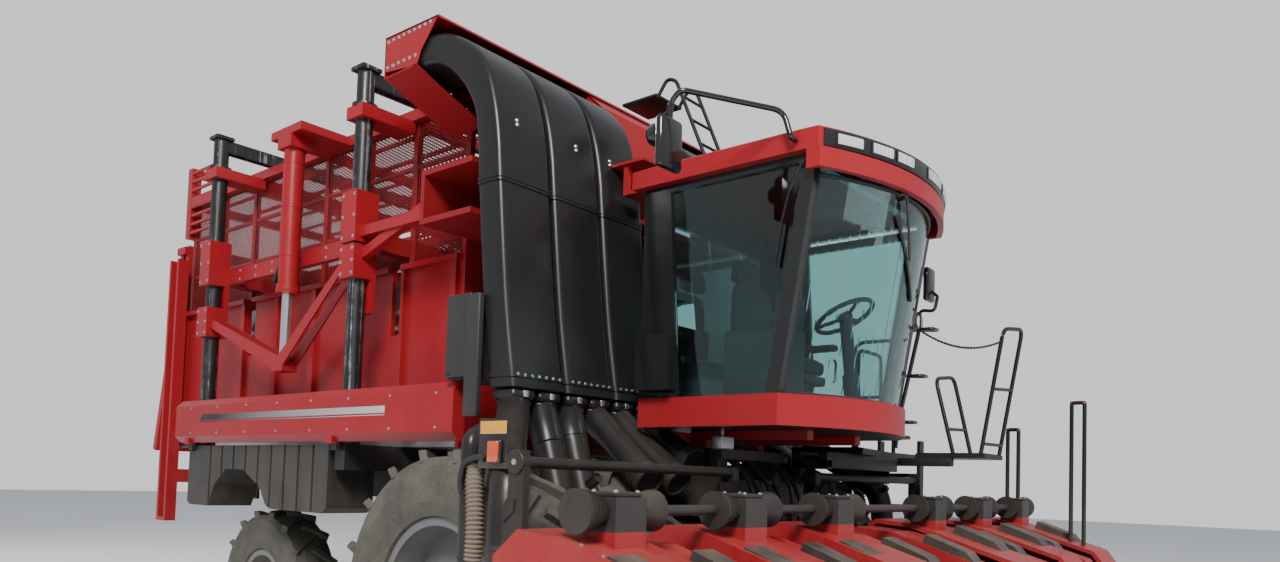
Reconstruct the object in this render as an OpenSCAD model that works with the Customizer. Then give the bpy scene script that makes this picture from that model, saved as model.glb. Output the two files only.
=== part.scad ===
// Six-row cotton harvester with an on-board module chamber, standing parked on its wheels.
// Units are mm. X is forward, Y is the machine's left, Z is up, with the ground at Z = 0.
// Places are measured from the ground under the front axle, then moved so that the whole is centred.

/* [Overall] */
// Front axle to the tip of the row dividers
front_reach = 3650; // [3400:10:3900]
// Front axle to the foot of the folded rear ramp
rear_reach = 6550; // [6300:10:6800]
// Front axle to rear axle
wheelbase = 3400; // [3300:10:3500]

/* [Drive wheels] */
// Drive tyre radius out to the lug tips
tyre_r = 975; // [955:1:985]
// Drive tyre section width
tyre_w = 520; // [480:1:540]
// Bead seat radius of the drive rims
rim_r = 533; // [515:1:545]
// Middle of the inner drive tyre from the centre line
inner_wheel_y = 965; // [955:1:975]
// Middle of the outer drive tyre from the centre line
outer_wheel_y = 1930; // [1915:1:1945]
// Height of the drive lugs over the tread
lug_h = 42; // [30:1:50]
// Lugs on each half of a drive tyre
lugs = 18; // [16:1:20]
// Wheel nuts on each drive rim
drive_nuts = 12; // [8:2:14]

/* [Steered wheels] */
// Steered tyre radius out to the lug tips
steer_r = 710; // [690:1:715]
// Steered tyre section width
steer_w = 420; // [390:1:430]
// Bead seat radius of the steered rims
steer_rim_r = 330; // [315:1:345]
// Middle of the steered tyre from the centre line
steer_y = 1290; // [1280:1:1300]
// Kingpin from the centre line
kingpin_y = 900; // [890:1:910]
// Lugs on each half of a steered tyre
steer_lugs = 16; // [14:1:18]

/* [Chassis] */
// Frame rail height
rail_h = 300; // [260:5:320]
// Frame rail width
rail_w = 120; // [100:5:140]
// Middle of a frame rail from the centre line
rail_y = 500; // [485:5:515]
// Top of the frame rails
rail_top = 1860; // [1850:1:1870]
// Radius of the tow hitch pin hole
hitch_r = 16; // [14:0.5:20]
// Radius of the tie-down holes
tie_r = 25; // [20:1:28]

/* [Chamber] */
// Outer face of the chamber's lower walls from the centre line
wall_y = 1280; // [1270:1:1290]
// Thickness of the lower walls
wall_t = 40; // [34:1:46]
// Chamber floor top
floor_z = 2120; // [2110:1:2130]
// Top of the lower walls
ledge_z = 3460; // [3440:5:3480]
// Top of the upper chamber frame
chamber_top = 4730; // [4700:5:4760]
// Front wall of the chamber, behind the front axle
chamber_front = 960; // [940:5:980]
// Rear end of the chamber, behind the front axle
chamber_rear = 5700; // [5680:5:5720]
// Ribs along each side of the chamber
wall_ribs = 8; // [7:1:9]

/* [Side panels and tanks] */
// Outer face of the long side panels from the centre line
panel_y = 1850; // [1840:1:1860]
// Bottom of the side panels
panel_z0 = 2015; // [2010:1:2025]
// Top of the side panels
panel_z1 = 2405; // [2395:1:2415]
// Outer face of the moulded tanks from the centre line
tank_y = 1760; // [1750:1:1770]
// Grooves along each tank
tank_grooves = 11; // [9:1:12]

/* [Posts and press] */
// Middle of the posts from the centre line
post_y = 1660; // [1655:1:1665]
// Post diameter
post_d = 136; // [130:1:140]
// Front posts, behind the front axle
post_front = 1760; // [1750:5:1770]
// Rear posts, behind the front axle
post_rear = 4200; // [4190:5:4210]
// Top of the posts
post_top = 4930; // [4920:5:4960]
// Bore of the press sleeves over the posts
sleeve_d = 137; // [136.8:0.1:140]
// Bottom of the press beam
beam_z = 3540; // [3530:1:3550]
// Press beam height
beam_h = 140; // [120:5:150]
// Press augers across the chamber
augers = 4; // [3:1:5]

/* [Ducts] */
// Width of a cotton duct
duct_w = 450; // [440:1:455]
// Fore and aft depth of a cotton duct
duct_d = 230; // [215:1:240]
// Outer face of the outermost duct from the centre line
duct_y = 1850; // [1845:1:1855]
// Spacing of the ducts
duct_pitch = 480; // [475:1:485]
// Diameter of the lower suction pipes
pipe_d = 210; // [190:5:215]

/* [Cab] */
// Half the width of the cab
cab_y = 870; // [860:1:880]
// Cab rear wall, ahead of the front axle
cab_rear = 480; // [470:5:490]
// Foot of the windscreen posts, ahead of the front axle
cab_front = 1550; // [1540:5:1560]
// Cab floor underside
cab_z = 2150; // [2140:5:2160]
// Sill top under the windows
sill_z = 2345; // [2335:5:2355]
// Underside of the roof
roof_z = 3780; // [3770:5:3790]
// Forward lean of the windscreen, degrees
screen_lean = 9.3; // [8.5:0.1:10]
// Bulge of the windscreen between its posts
screen_bulge = 250; // [220:5:280]
// Glass thickness
glass_t = 8; // [6:1:10]

/* [Header] */
// Row spacing
row_pitch = 965; // [955:5:975]
// Rows
rows = 6; // [6:2:6]
// Rear of the row units, ahead of the front axle
unit_x = 1400; // [1390:5:1420]
// Top of the row unit hoods
unit_top = 1570; // [1550:5:1580]
// Lowest edge of the row units
unit_z = 160; // [150:5:180]
// Width of the gap that the plants pass through
throat = 110; // [100:2:120]

/* [Hidden] */
front_axle_x = (rear_reach - front_reach) / 2;
rail_z = rail_top - rail_h;
fn_big = 180;
in_y = wall_y - wall_t;
post_xs = [-post_front, -post_rear];
rear_x = -chamber_rear - 80;
ramp_x = rear_x - 60;
ramp_z = 2040;
ramp_top = 4240;
ramp_lean = 12;
ramp_fold_x = 130 * cos(ramp_lean) + 2260 * sin(ramp_lean) - rear_reach;
gate_top = chamber_top + 350;
duct_end = chamber_front - 40.3;
tie_x = rear_x + 310;
deck_z = 2100;
ladder_x = 640;
ladder_y = 2510;
row_ys = [for (i = [0:rows - 1]) (i - (rows - 1) / 2) * row_pitch];

// Moves a part from front axle places to the centred frame
module at_axle() {
  translate([front_axle_x, 0, 0]) children();
}

// Draws a part on the right and on the left
module both_sides() {
  children();
  mirror([0, 1, 0]) children();
}

// Box between two corners
module box(x0, x1, y0, y1, z0, z1) {
  translate([x0, y0, z0]) cube([x1 - x0, y1 - y0, z1 - z0]);
}

// Side outline in X and Z, pushed from y0 to y1
module slab(pts, y0, y1) {
  translate([0, y1, 0]) rotate([90, 0, 0]) linear_extrude(height = y1 - y0) polygon(pts);
}

// Round bar between two points
module bar(p, q, d, n = 24) {
  v = q - p;
  len = norm(v);
  translate(p) rotate([0, acos(v[2] / len), atan2(v[1], v[0])]) cylinder(h = len, d = d, $fn = n);
}

// Bent tube through a list of points, with round joints a little over its size
module tube_run(pts, d, n = 16) {
  for (i = [0:len(pts) - 2]) bar(pts[i], pts[i + 1], d, n);
  for (i = [1:len(pts) - 2]) translate(pts[i]) sphere(d = d + 1, $fn = n);
}

// Round disc or drum about the Y axis
module drum_y(x, z, y0, y1, r, n = 64) {
  translate([x, y1, z]) rotate([90, 0, 0]) cylinder(h = y1 - y0, r = r, $fn = n);
}

// chassis
module frame_rails() {
  // columns: middle of the cross member behind the front axle, its half width
  members = [[-910, 30], [300, 60], [post_front, 60], [2700, 60], [post_rear, 60], [chamber_rear - 250, 90]];
  color("#2b2b2d") at_axle() difference() {
    union() {
      both_sides() box(rear_x + 220, 950, rail_y - rail_w / 2, rail_y + rail_w / 2, rail_z, rail_top);
      for (m = members) {
        box(-m[0] - m[1], -m[0] + m[1], -rail_y, rail_y, rail_z + 40, rail_top - 40);
      }
      for (x = post_xs) {
        both_sides() {
          box(x - 68, x + 68, rail_y, post_y + 78, rail_top - 60, 2000);
          box(x - 40, x + 40, post_y + 78, post_y + 140, 1950, 2000);
        }
      }
      // rear drawbar
      box(rear_x + 20, rear_x + 380, -60, 60, rail_z + 60, rail_z + 100);
      // brackets and pins that the header swings on
      both_sides() {
        slab([[490, rail_z], [500, 1240], [620, 1240], [640, rail_z]], 448, 512);
        drum_y(560, 1300, 448, 592, 28, 48);
      }
      // tie-down ears under the rear ends of the rails
      for (s = [-1, 1]) box(tie_x - 50, tie_x + 50, s * rail_y - 15, s * rail_y + 15, rail_z - 110, rail_z + 10);
    }
    translate([rear_x + 70, 0, rail_z]) cylinder(h = 200, r = hitch_r, $fn = 48);
    for (s = [-1, 1]) drum_y(tie_x, rail_z - 60, s * rail_y - 40, s * rail_y + 40, tie_r, 48);
  }
}

// Channel uprights that carry the ramp
module rear_frame() {
  y0 = wall_y + 50;
  color("#a51420") at_axle() both_sides() difference() {
    union() {
      box(rear_x, rear_x + 220, y0, y0 + 40, 1210, 4020);
      box(rear_x, rear_x + 40, y0, y0 + 110, 1210, 4020);
      box(rear_x + 180, rear_x + 220, y0, y0 + 110, 1210, 4020);
      box(rear_x, rear_x + 220, rail_y - rail_w / 2, y0, rail_z + 60, rail_z + 200);
      box(rear_x, rear_x + 220, y0, y0 + 110, 1210, 1250);
      box(ramp_x - 50, rear_x + 40, y0 - 34, y0 + 40, ramp_z - 50, ramp_z + 50);
    }
    drum_y(ramp_x, ramp_z, y0 - 40, y0 + 20, 26.4, 48);
  }
}

module front_axle() {
  color("#3a3a3c") at_axle() {
    drum_y(0, tyre_r, -620, 620, 150);
    both_sides() {
      drum_y(0, tyre_r, 600, 760, 230);
      box(-140, 140, rail_y - 60, rail_y + 60, tyre_r + 90, rail_z);
    }
    drum_y(0, tyre_r, -190, 190, 240);
  }
}

module rear_axle() {
  color("#3a3a3c") at_axle() translate([-wheelbase, 0, 0]) {
    box(-90, 90, -kingpin_y + 100, kingpin_y - 100, steer_r - 90, steer_r + 90);
    translate([-120, 0, steer_r + 60]) rotate([0, 90, 0]) cylinder(h = 240, r = 90, $fn = 48);
    for (x = [-130, 90]) box(x, x + 40, -110, 110, steer_r - 40, rail_z + 200);
    both_sides() for (z = [-130, 90]) {
      translate([0, kingpin_y, steer_r + z]) cylinder(h = 40, r = 85, $fn = 48);
      box(-80, 80, kingpin_y - 150, kingpin_y, steer_r + z, steer_r + z + 40);
    }
    for (x = [-130, 90]) box(x, x + 40, -rail_y + rail_w / 2, rail_y - rail_w / 2, rail_z + 60, rail_z + 200);
  }
}

module engine_block() {
  color("#444648") at_axle() box(-2600, -1500, -410, 410, 760, rail_z + 40);
}

module air_boxes() {
  color("#1d1d1f") at_axle() {
    for (s = [-1, 1]) difference() {
      union() {
        drum_y(520, 1540, s * 345 - 95, s * 345 + 95, 350, 96);
        box(520, 870, s * 345 - 95, s * 345 + 95, 1540, 1900);
      }
      drum_y(520, 1540, s * 345 + 85, s * 345 + 120, 150, 48);
      drum_y(520, 1540, s * 345 - 120, s * 345 - 85, 150, 48);
    }
    box(400, 860, -420, 420, 1960, 2030);
    for (s = [-1, 1]) box(560, 820, s * 345 - 60, s * 345 + 60, 1880, 1980);
    // moulded boxes behind the outer ducts
    both_sides() box(-330, -60, -duct_y, -duct_y + 350, 2405, 2960);
  }
}

// chamber
module chamber_floor() {
  slats = 14;
  color("#6f7274") at_axle() {
    box(-chamber_rear, -chamber_front, -wall_y, wall_y, floor_z - 30, floor_z);
    for (y = [-1260, -840, -440, 400, 800, 1220]) box(-chamber_rear, -chamber_front, y, y + 40, 2000, floor_z - 30);
    for (i = [0:slats - 1]) {
      x = -chamber_rear + 200 + i * (chamber_rear - chamber_front - 400) / (slats - 1);
      box(x - 20, x + 20, -1000, 1000, floor_z, floor_z + 30);
    }
  }
}

// Slots in the chamber sides that the press arms run in
module press_slots() {
  for (x = post_xs) box(x - 80, x + 80, -wall_y - 200, -1100, 2900, 3860);
}

module lower_wall_right() {
  step = (chamber_rear - chamber_front - 120) / (wall_ribs - 1);
  difference() {
    union() {
      box(-chamber_rear, -chamber_front, -wall_y, -in_y, floor_z, ledge_z);
      box(-chamber_rear, -chamber_front, -wall_y - 50, -in_y, ledge_z - 45, ledge_z);
      for (i = [0:wall_ribs - 1]) {
        x = -chamber_rear + 60 + i * step;
        box(x - 35, x + 35, -wall_y - 35, -wall_y, floor_z, ledge_z - 45);
      }
    }
    press_slots();
  }
}

module lower_walls() {
  color("#a51420") at_axle() {
    both_sides() lower_wall_right();
    box(-chamber_front, -chamber_front + 40, -wall_y, wall_y, 2000, 4080);
  }
}

module upper_wall_right() {
  y0 = -in_y + 6;
  step = (chamber_rear - chamber_front - 60) / (wall_ribs - 1);
  difference() {
    union() {
      box(-chamber_rear, -chamber_front, y0, y0 + 4, 3380, chamber_top - 90);
      for (i = [0:wall_ribs - 1]) {
        x = -chamber_rear + 30 + i * step;
        box(x - 30, x + 30, y0 - 6, y0 + 40, 3400, chamber_top - 90);
      }
      box(-chamber_rear, -chamber_front, y0 - 6, y0 + 40, 3380, 3440);
      for (z = [3840, 4260]) box(-chamber_rear, -chamber_front, y0, y0 + 30, z, z + 30);
    }
    press_slots();
  }
}

module upper_walls() {
  color("#8f1a22") at_axle() both_sides() upper_wall_right();
}

module top_frame() {
  color("#a51420") at_axle() {
    both_sides() {
      box(-chamber_rear - 100, -chamber_front + 40, -wall_y - 10, -wall_y + 90, chamber_top - 90, chamber_top);
      // raised slatted gate at the rear
      box(-chamber_rear - 100, -chamber_rear, -wall_y - 10, -wall_y + 90, gate_top - 780, gate_top);
      box(-chamber_rear + 500, -chamber_rear + 560, -wall_y - 10, -in_y, gate_top - 880, gate_top);
      for (i = [0:7]) {
        box(-chamber_rear - 20, -chamber_rear + 520, -wall_y - 6, -wall_y + 14, gate_top - 740 + i * 95, gate_top - 710 + i * 95);
      }
      // brackets that hold the posts to the frame
      for (x = post_xs) difference() {
        box(x - 110, x + 110, -post_y - 90, -wall_y + 20, chamber_top - 190, chamber_top - 90);
        translate([x, -post_y, chamber_top - 730]) cylinder(h = 1200, d = post_d + 1, $fn = 96);
      }
      // head that the press cylinder hangs from
      box(-3060, -2560, -post_y - 90, -wall_y + 20, chamber_top - 90, chamber_top - 20);
    }
    for (x = [-chamber_rear - 100, -4400, -3100, -1800, -chamber_front - 60]) {
      box(x, x + 80, -wall_y, wall_y, chamber_top - 90, chamber_top - 10);
    }
    box(-chamber_rear - 100, -chamber_rear - 20, -wall_y, wall_y, gate_top - 80, gate_top);
    // long mesh roof bars
    for (i = [-3:3]) box(-chamber_rear - 60, -chamber_front, i * 330 - 12, i * 330 + 12, chamber_top - 60, chamber_top - 30);
  }
}

module posts() {
  color("#18181a") at_axle() {
    for (x = post_xs) {
      both_sides() {
        translate([x, -post_y, 2000]) cylinder(h = post_top - 2000, d = post_d, $fn = 96);
        translate([x, -post_y, 2000]) cylinder(h = 60, d = post_d + 34, $fn = 64);
        translate([x, -post_y, chamber_top - 90]) cylinder(h = 24, d = post_d + 60, $fn = 64);
        box(x - 85, x + 85, -post_y - 85, -post_y + 85, post_top, post_top + 30);
      }
      for (dx = [-55, 25]) box(x + dx, x + dx + 30, -post_y + 40, post_y - 40, post_top - 110, post_top);
    }
  }
}

module press_cylinders() {
  color("#a51420") at_axle() both_sides() difference() {
    union() {
      translate([-2810, -post_y, 3330]) cylinder(h = chamber_top - 90 - 3330, d = 170, $fn = 96);
      translate([-2810, -post_y, 3300]) cylinder(h = 60, d = 190, $fn = 96);
      box(-2920, -2700, -post_y - 100, -post_y + 100, chamber_top - 200, chamber_top - 90);
    }
    translate([-2810, -post_y, 3200]) cylinder(h = 1250, d = 92, $fn = 64);
  }
}

// side panels and tanks
module side_panel_shape() {
  x0 = -4420;
  x1 = -270;
  // bevelled channel section across Y and Z
  lip = 100;
  pts = [[-panel_y, panel_z0 + 55], [-panel_y, panel_z1 - 55], [-panel_y + 55, panel_z1],
    [-panel_y + lip, panel_z1], [-panel_y + lip, panel_z1 - 12], [-panel_y + 60, panel_z1 - 12],
    [-panel_y + 12, panel_z1 - 60], [-panel_y + 12, panel_z0 + 60], [-panel_y + 60, panel_z0 + 12],
    [-panel_y + lip, panel_z0 + 12], [-panel_y + lip, panel_z0], [-panel_y + 55, panel_z0]];
  translate([x0, 0, 0]) rotate([90, 0, 90]) linear_extrude(height = x1 - x0) polygon(pts);
  for (x = [x0, x1 - 12]) {
    translate([x, 0, 0]) rotate([90, 0, 90]) linear_extrude(height = 12) polygon([[-panel_y, panel_z0 + 55],
      [-panel_y, panel_z1 - 55], [-panel_y + 55, panel_z1], [-panel_y + lip, panel_z1],
      [-panel_y + lip, panel_z0], [-panel_y + 55, panel_z0]]);
  }
  // brackets back to the post outriggers
  for (x = [-post_front, -post_rear]) box(x - 40, x + 40, -panel_y + 12, -post_y - 105, 2000, 2060);
  box(-330, -280, -panel_y + lip - 20, -rail_y, panel_z0, 2050);
  box(-330, -280, -rail_y - 50, -rail_y, 1860, 2050);
}

module side_panels() {
  color("#a51420") at_axle() both_sides() side_panel_shape();
}

module tank_shape() {
  step = (4300 - 1880) / tank_grooves;
  difference() {
    slab([[-4300, 1470], [-4240, 1440], [-3960, 1440], [-3960, 1990], [-4300, 1990]], -tank_y, -1350);
    box(-4290, -4110, -post_y - 90, -1300, 1790, 2001);
    box(-4250, -4150, -tank_y - 20, -1300, 1940, 2001);
  }
  difference() {
    slab([[-3965, 1440], [-3880, 1440], [-3760, 1640], [-3560, 1780], [-3240, 1780], [-2940, 1640],
      [-2830, 1500], [-2760, 1460], [-1960, 1460], [-1880, 1500], [-1880, 1990], [-3965, 1990]], -tank_y, -1350);
    for (i = [1:tank_grooves - 1]) box(-4300 + i * step - 16, -4300 + i * step + 16, -tank_y - 1, -tank_y + 18, 1400, 2100);
  }
  for (x = [-3900, -2000]) box(x - 30, x + 30, -1400, -rail_y - rail_w / 2, 1800, 1850);
}

module tanks() {
  color("#1c1c1e") at_axle() both_sides() tank_shape();
}

// ducts
module one_duct(yo) {
  // columns: X and Z down the front face, then up the rear face
  face = [[300, 2340], [200, 2900], [80, 3680], [-20, 4130], [-120, 4350], [-240, 4520], [-390, 4680],
    [-560, 4800], [-duct_end, 4850]];
  back = [[-duct_end, 4424], [-620, 4400], [-440, 4300], [-330, 4180], [-250, 4030], [80 - duct_d, 3660],
    [200 - duct_d, 2900], [300 - duct_d, 2340]];
  slab(concat(face, back), yo, yo + duct_w);
  // the upper flange meets the next duct's, which it is bolted to
  flange = (duct_pitch - duct_w) / 2 - 0.15;
  slab([[96, 3660], [92, 3700], [70 - duct_d, 3700], [74 - duct_d, 3660]], yo - flange, yo + duct_w + flange);
  slab([[310, 2400], [300, 2450], [270 - duct_d, 2450], [282 - duct_d, 2400]], yo - 8, yo + duct_w + 8);
}

module ducts() {
  color("#161618") at_axle() both_sides() for (i = [0:2]) one_duct(-duct_y + i * duct_pitch);
}

module duct_pipes() {
  color("#161618") at_axle() both_sides() for (i = [0:2]) for (k = [0, 1]) {
    y = -duct_y + i * duct_pitch + duct_w * (0.25 + 0.5 * k);
    reach = i == 2 && k == 1 ? 270 : 560;
    translate([188, y, 2150]) cylinder(h = 190, d = pipe_d, $fn = 48);
    translate([188, y, 2230]) cylinder(h = 110, d = pipe_d + 14, $fn = 48);
    bar([188, y, 2170], [200 + reach, y, 2150 - reach * 0.625], pipe_d - 1, 48);
  }
}

module duct_hood() {
  // sheet steel hood over the duct outlets
  side = [[-1200, 4720], [-1200, 4960], [-580, 4930], [-490, 4850], [-220, 4600], [-60, 4300],
    [-220, 4110], [-910, 4160], [-1010, 4500]];
  color("#a51420") at_axle() {
    both_sides() slab(side, -duct_y - 22, -duct_y - 14);
    slab([[-1200, 4948], [-1200, 4960], [-580, 4930], [-490, 4850], [-500, 4842], [-584, 4918]],
      -duct_y - 22, duct_y + 22);
    slab([[-1200, 4880], [-1200, 4960], [-1190, 4960], [-1190, 4880]], -duct_y - 22, duct_y + 22);
    both_sides() {
      box(-1190, -1000, -duct_y - 14, -wall_y - 10, 4424, 4436);
      box(-1190, -1150, -duct_y - 14, -wall_y - 10, 4424, 4949);
    }
  }
}

// cab
// Bulging windscreen outline in the leaning frame, between two radii
module screen_band(x_in, x_out) {
  n = 24;
  outer = [for (i = [0:n]) let (s = -1 + 2 * i / n) [x_out + screen_bulge * (1 - s * s), s * (cab_y - 60)]];
  inner = [for (i = [n:-1:0]) let (s = -1 + 2 * i / n) [x_in + screen_bulge * (1 - s * s), s * (cab_y - 60)]];
  polygon(concat(outer, inner));
}

// Plan outline with a bulged front edge
module bulged_plan(x_rear, x_front, bulge, half_w) {
  n = 24;
  arc = [for (i = [0:n]) let (s = -1 + 2 * i / n) [x_front + bulge * (1 - s * s), s * half_w]];
  polygon(concat([[x_rear, -half_w]], arc, [[x_rear, half_w]]));
}

module cab_base() {
  color("#a51420") at_axle() {
    translate([0, 0, cab_z]) linear_extrude(height = 60) bulged_plan(cab_rear, cab_front + 20, screen_bulge + 60, cab_y);
    difference() {
      translate([0, 0, cab_z]) linear_extrude(height = sill_z - cab_z) bulged_plan(cab_rear, cab_front + 20, screen_bulge + 60, cab_y + 8);
      translate([0, 0, cab_z + 50]) linear_extrude(height = 400) bulged_plan(cab_rear + 40, cab_front - 20, screen_bulge + 40, cab_y - 42);
      box(800, cab_front - 20, cab_y - 60, cab_y + 60, cab_z + 60, sill_z + 60);
    }
    both_sides() box(560, 1500, 300, 380, 2090, cab_z);
    both_sides() box(560, 700, 300, 380, 2030, 2090);
  }
}

module cab_frame() {
  top = roof_z;
  ring_x = cab_front + (top - 50 - sill_z) * tan(screen_lean) - 1;
  color("#141416") at_axle() {
    // rear wall with a window
    difference() {
      box(cab_rear, cab_rear + 40, -cab_y, cab_y, sill_z, top);
      box(cab_rear - 20, cab_rear + 80, -600, 600, 2900, 3600);
    }
    // solid quarter panels behind the side windows
    both_sides() slab([[cab_rear, sill_z], [800, sill_z], [700, top], [cab_rear, top]], -cab_y, -cab_y + 40);
    // windscreen posts
    both_sides() difference() {
      translate([cab_front, 0, sill_z]) rotate([0, screen_lean, 0]) box(-70, 20, -cab_y, -cab_y + 60, -40, (top - sill_z) / cos(screen_lean) + 40);
      box(cab_front - 200, cab_front + 600, -cab_y - 10, -cab_y + 70, sill_z - 200, sill_z);
      box(cab_front - 200, cab_front + 600, -cab_y - 10, -cab_y + 70, top, top + 200);
    }
    // header ring under the roof
    difference() {
      box(cab_rear, ring_x, -cab_y, cab_y, top - 50, top);
      box(cab_rear + 40, ring_x - 60, -cab_y + 50, cab_y - 50, top - 80, top + 30);
      box(790, 1700, cab_y - 60, cab_y + 30, top - 60, top - 30);
    }
    // floor mat and rear shelf
    box(cab_rear + 40, cab_front - 60, -cab_y + 60, cab_y - 60, cab_z + 60, cab_z + 72);
    box(cab_rear + 40, cab_rear + 260, -cab_y + 60, cab_y - 60, 2600, 2640);
    // hinge halves for the door
    door_edge() for (z = [279.6, 1179.6]) {
      translate([-3, 0, z]) cylinder(h = 40, r = 9, $fn = 32);
      box(-20, -3, -14, -4, z, z + 40);
      box(-60, -14, -20, -12, z, z + 40);
    }
    // intake box on the right quarter panel
    box(510, 790, -cab_y - 90, -cab_y, 2390, 2760);
  }
}

module cab_roof() {
  color("#a51420") at_axle() {
    translate([0, 0, roof_z]) linear_extrude(height = 120) bulged_plan(410, 1840, 240, 930);
    hull() {
      translate([0, 0, roof_z + 120]) linear_extrude(height = 1) bulged_plan(410, 1840, 240, 930);
      translate([0, 0, roof_z + 185]) linear_extrude(height = 1) bulged_plan(520, 1650, 180, 800);
    }
    // lower lip of the visor
    difference() {
      translate([0, 0, roof_z - 120]) linear_extrude(height = 120) bulged_plan(1760, 1850, 245, 930);
      translate([0, 0, roof_z - 140]) linear_extrude(height = 180) bulged_plan(1500, 1822, 232, 900);
    }
    // step plate and posts behind the cab
    box(20, 360, -760, -300, 4060, 4080);
    for (y = [-740, -340]) box(160, 200, y, y + 40, 3860, 4060);
    box(160, 480, -740, -300, 3840, 3870);
  }
}

module cab_glass() {
  len_s = (roof_z - sill_z) / cos(screen_lean);
  color([0.35, 0.6, 0.55, 0.4]) at_axle() {
    difference() {
      translate([cab_front, 0, sill_z]) rotate([0, screen_lean, 0]) linear_extrude(height = len_s) screen_band(0, glass_t);
      box(cab_front - 100, cab_front + 900, -1000, 1000, sill_z - 200, sill_z);
      box(cab_front - 100, cab_front + 900, -1000, 1000, roof_z, roof_z + 200);
    }
    slab([[802, sill_z], [cab_front - 72, sill_z], [cab_front - 72 + (roof_z - 50 - sill_z) * tan(screen_lean), roof_z - 50],
      [704, roof_z - 50]], -cab_y + 20, -cab_y + 20 + glass_t);
    box(cab_rear + 10, cab_rear + 10 + glass_t, -600, 600, 2900, 3600);
  }
}

module seat_shape() {
  union() {
    box(900, 1320, -240, 240, 2560, 2680);
    translate([900, 0, 2640]) rotate([0, -8, 0]) box(-110, 20, -230, 230, 0, 620);
    translate([812, 0, 3250]) rotate([0, -8, 0]) box(-90, 0, -140, 140, 0, 180);
    box(940, 1280, -200, 200, 2222, 2560);
    box(1000, 1340, -340, -260, 2760, 2820);
    box(960, 1060, -340, -240, 2600, 2770);
    box(1000, 1340, 260, 330, 2760, 2820);
    box(960, 1060, 240, 330, 2600, 2770);
  }
}

module console_shape() {
  union() {
    box(1000, 1480, -640, -380, 2222, 2800);
    box(1380, 1480, -640, -380, 2780, 3020);
    bar([1640, 0, cab_z + 65.8], [1556, 0, 2940], 90, 32);
    translate([1552, 0, 2930]) rotate([0, -28, 0]) {
      rotate_extrude($fn = 64) translate([200, 0]) circle(d = 32, $fn = 20);
      cylinder(h = 30, r = 50, $fn = 32);
      for (a = [0, 120, 240]) rotate([0, 0, a]) box(30, 195, -16, 16, 4, 16);
    }
  }
}

module cab_interior() {
  color("#2a2b2e") at_axle() {
    seat_shape();
    console_shape();
  }
}

// deck, ladder, rails and mirrors
module deck() {
  color("#1b1b1d") at_axle() {
    difference() {
      translate([0, 0, deck_z - 50]) linear_extrude(height = 50) polygon([[ladder_x, 900], [1600, 900], [1760, 640],
        [2000, 620], [2060, 680], [2060, 1900], [2010, 1950], [1080, 1950], [1080, ladder_y - 30],
        [ladder_x - 50, ladder_y - 30], [ladder_x - 50, ladder_y - 150], [ladder_x, ladder_y - 200]]);
      translate([ladder_x - 28, ladder_y + 25, deck_z - 60]) cylinder(h = 70, r = 60, $fn = 48);
    }
    // lug and pin that the ladder hangs on
    box(ladder_x - 50, ladder_x - 6, ladder_y - 60, ladder_y + 25, deck_z - 50, deck_z);
    translate([ladder_x - 28, ladder_y + 25, deck_z - 50]) cylinder(h = 50, r = 22, $fn = 48);
    translate([ladder_x - 28, ladder_y + 25, deck_z - 95]) cylinder(h = 140, r = 12, $fn = 48);
    for (x = [900, 1500]) box(x, x + 80, rail_y - 40, 1900, deck_z - 120, deck_z - 50);
    box(900, 980, rail_y - 40, rail_y + 40, rail_top, deck_z - 120);
    box(900, 1580, rail_y - 40, rail_y + 40, deck_z - 180, deck_z - 50);
  }
}

module deck_rails() {
  color("#19191b") at_axle() {
    tube_run([[1440, 1925, 2100], [1440, 1925, 2770], [1860, 1925, 2770]], 34);
    tube_run([[1860, 1925, 2100], [1860, 1925, 3140], [2010, 1925, 3140], [2010, 1925, 2100]], 34);
    for (z = [2420, 2780]) bar([1860, 1925, z], [2010, 1925, z], 30, 16);
    bar([1440, 1925, 2430], [1860, 1925, 2430], 30, 16);
    tube_run([[1130, 1925, 2101.9], [1250, 1925, 3200]], 34);
    tube_run([[680, 1925, 2100], [680, 1925, 3100], [1236, 1925, 3100]], 34);
    // front corner rail, parallel to the windscreen post
    tube_run([[2010, 700, 2100], [2010, 700, 2500], [2030, 1880, 2500], [2030, 1880, 2100]], 34);
  }
}

module mirrors() {
  color("#151517") at_axle() {
    tube_run([[1690, -930, roof_z + 60], [1690, -990, roof_z + 60], [1640, -1000, 4010], [1250, -1500, 4060], [1180, -1500, 3990], [1180, -1500, 3880]], 34);
    translate([1180, -1500, 3600]) hull() {
      box(-20, 20, -105, 105, 20, 290);
      box(-45, 5, -85, 85, 0, 310);
    }
    bar([1060, -1520, 3820], [1130, -1520, 3820], 130, 32);
    bar([1060, -1520, 3820], [1190, -1500, 3900], 26, 16);
    tube_run([[1700, 930, roof_z + 60], [1700, 990, roof_z + 60], [1760, 1010, 3990], [1780, 1280, 3990], [1780, 1280, 3460]], 34);
    translate([1790, 1280, 3130]) hull() {
      box(-20, 20, -100, 100, 20, 330);
      box(-45, 5, -80, 80, 0, 350);
    }
  }
}

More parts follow.
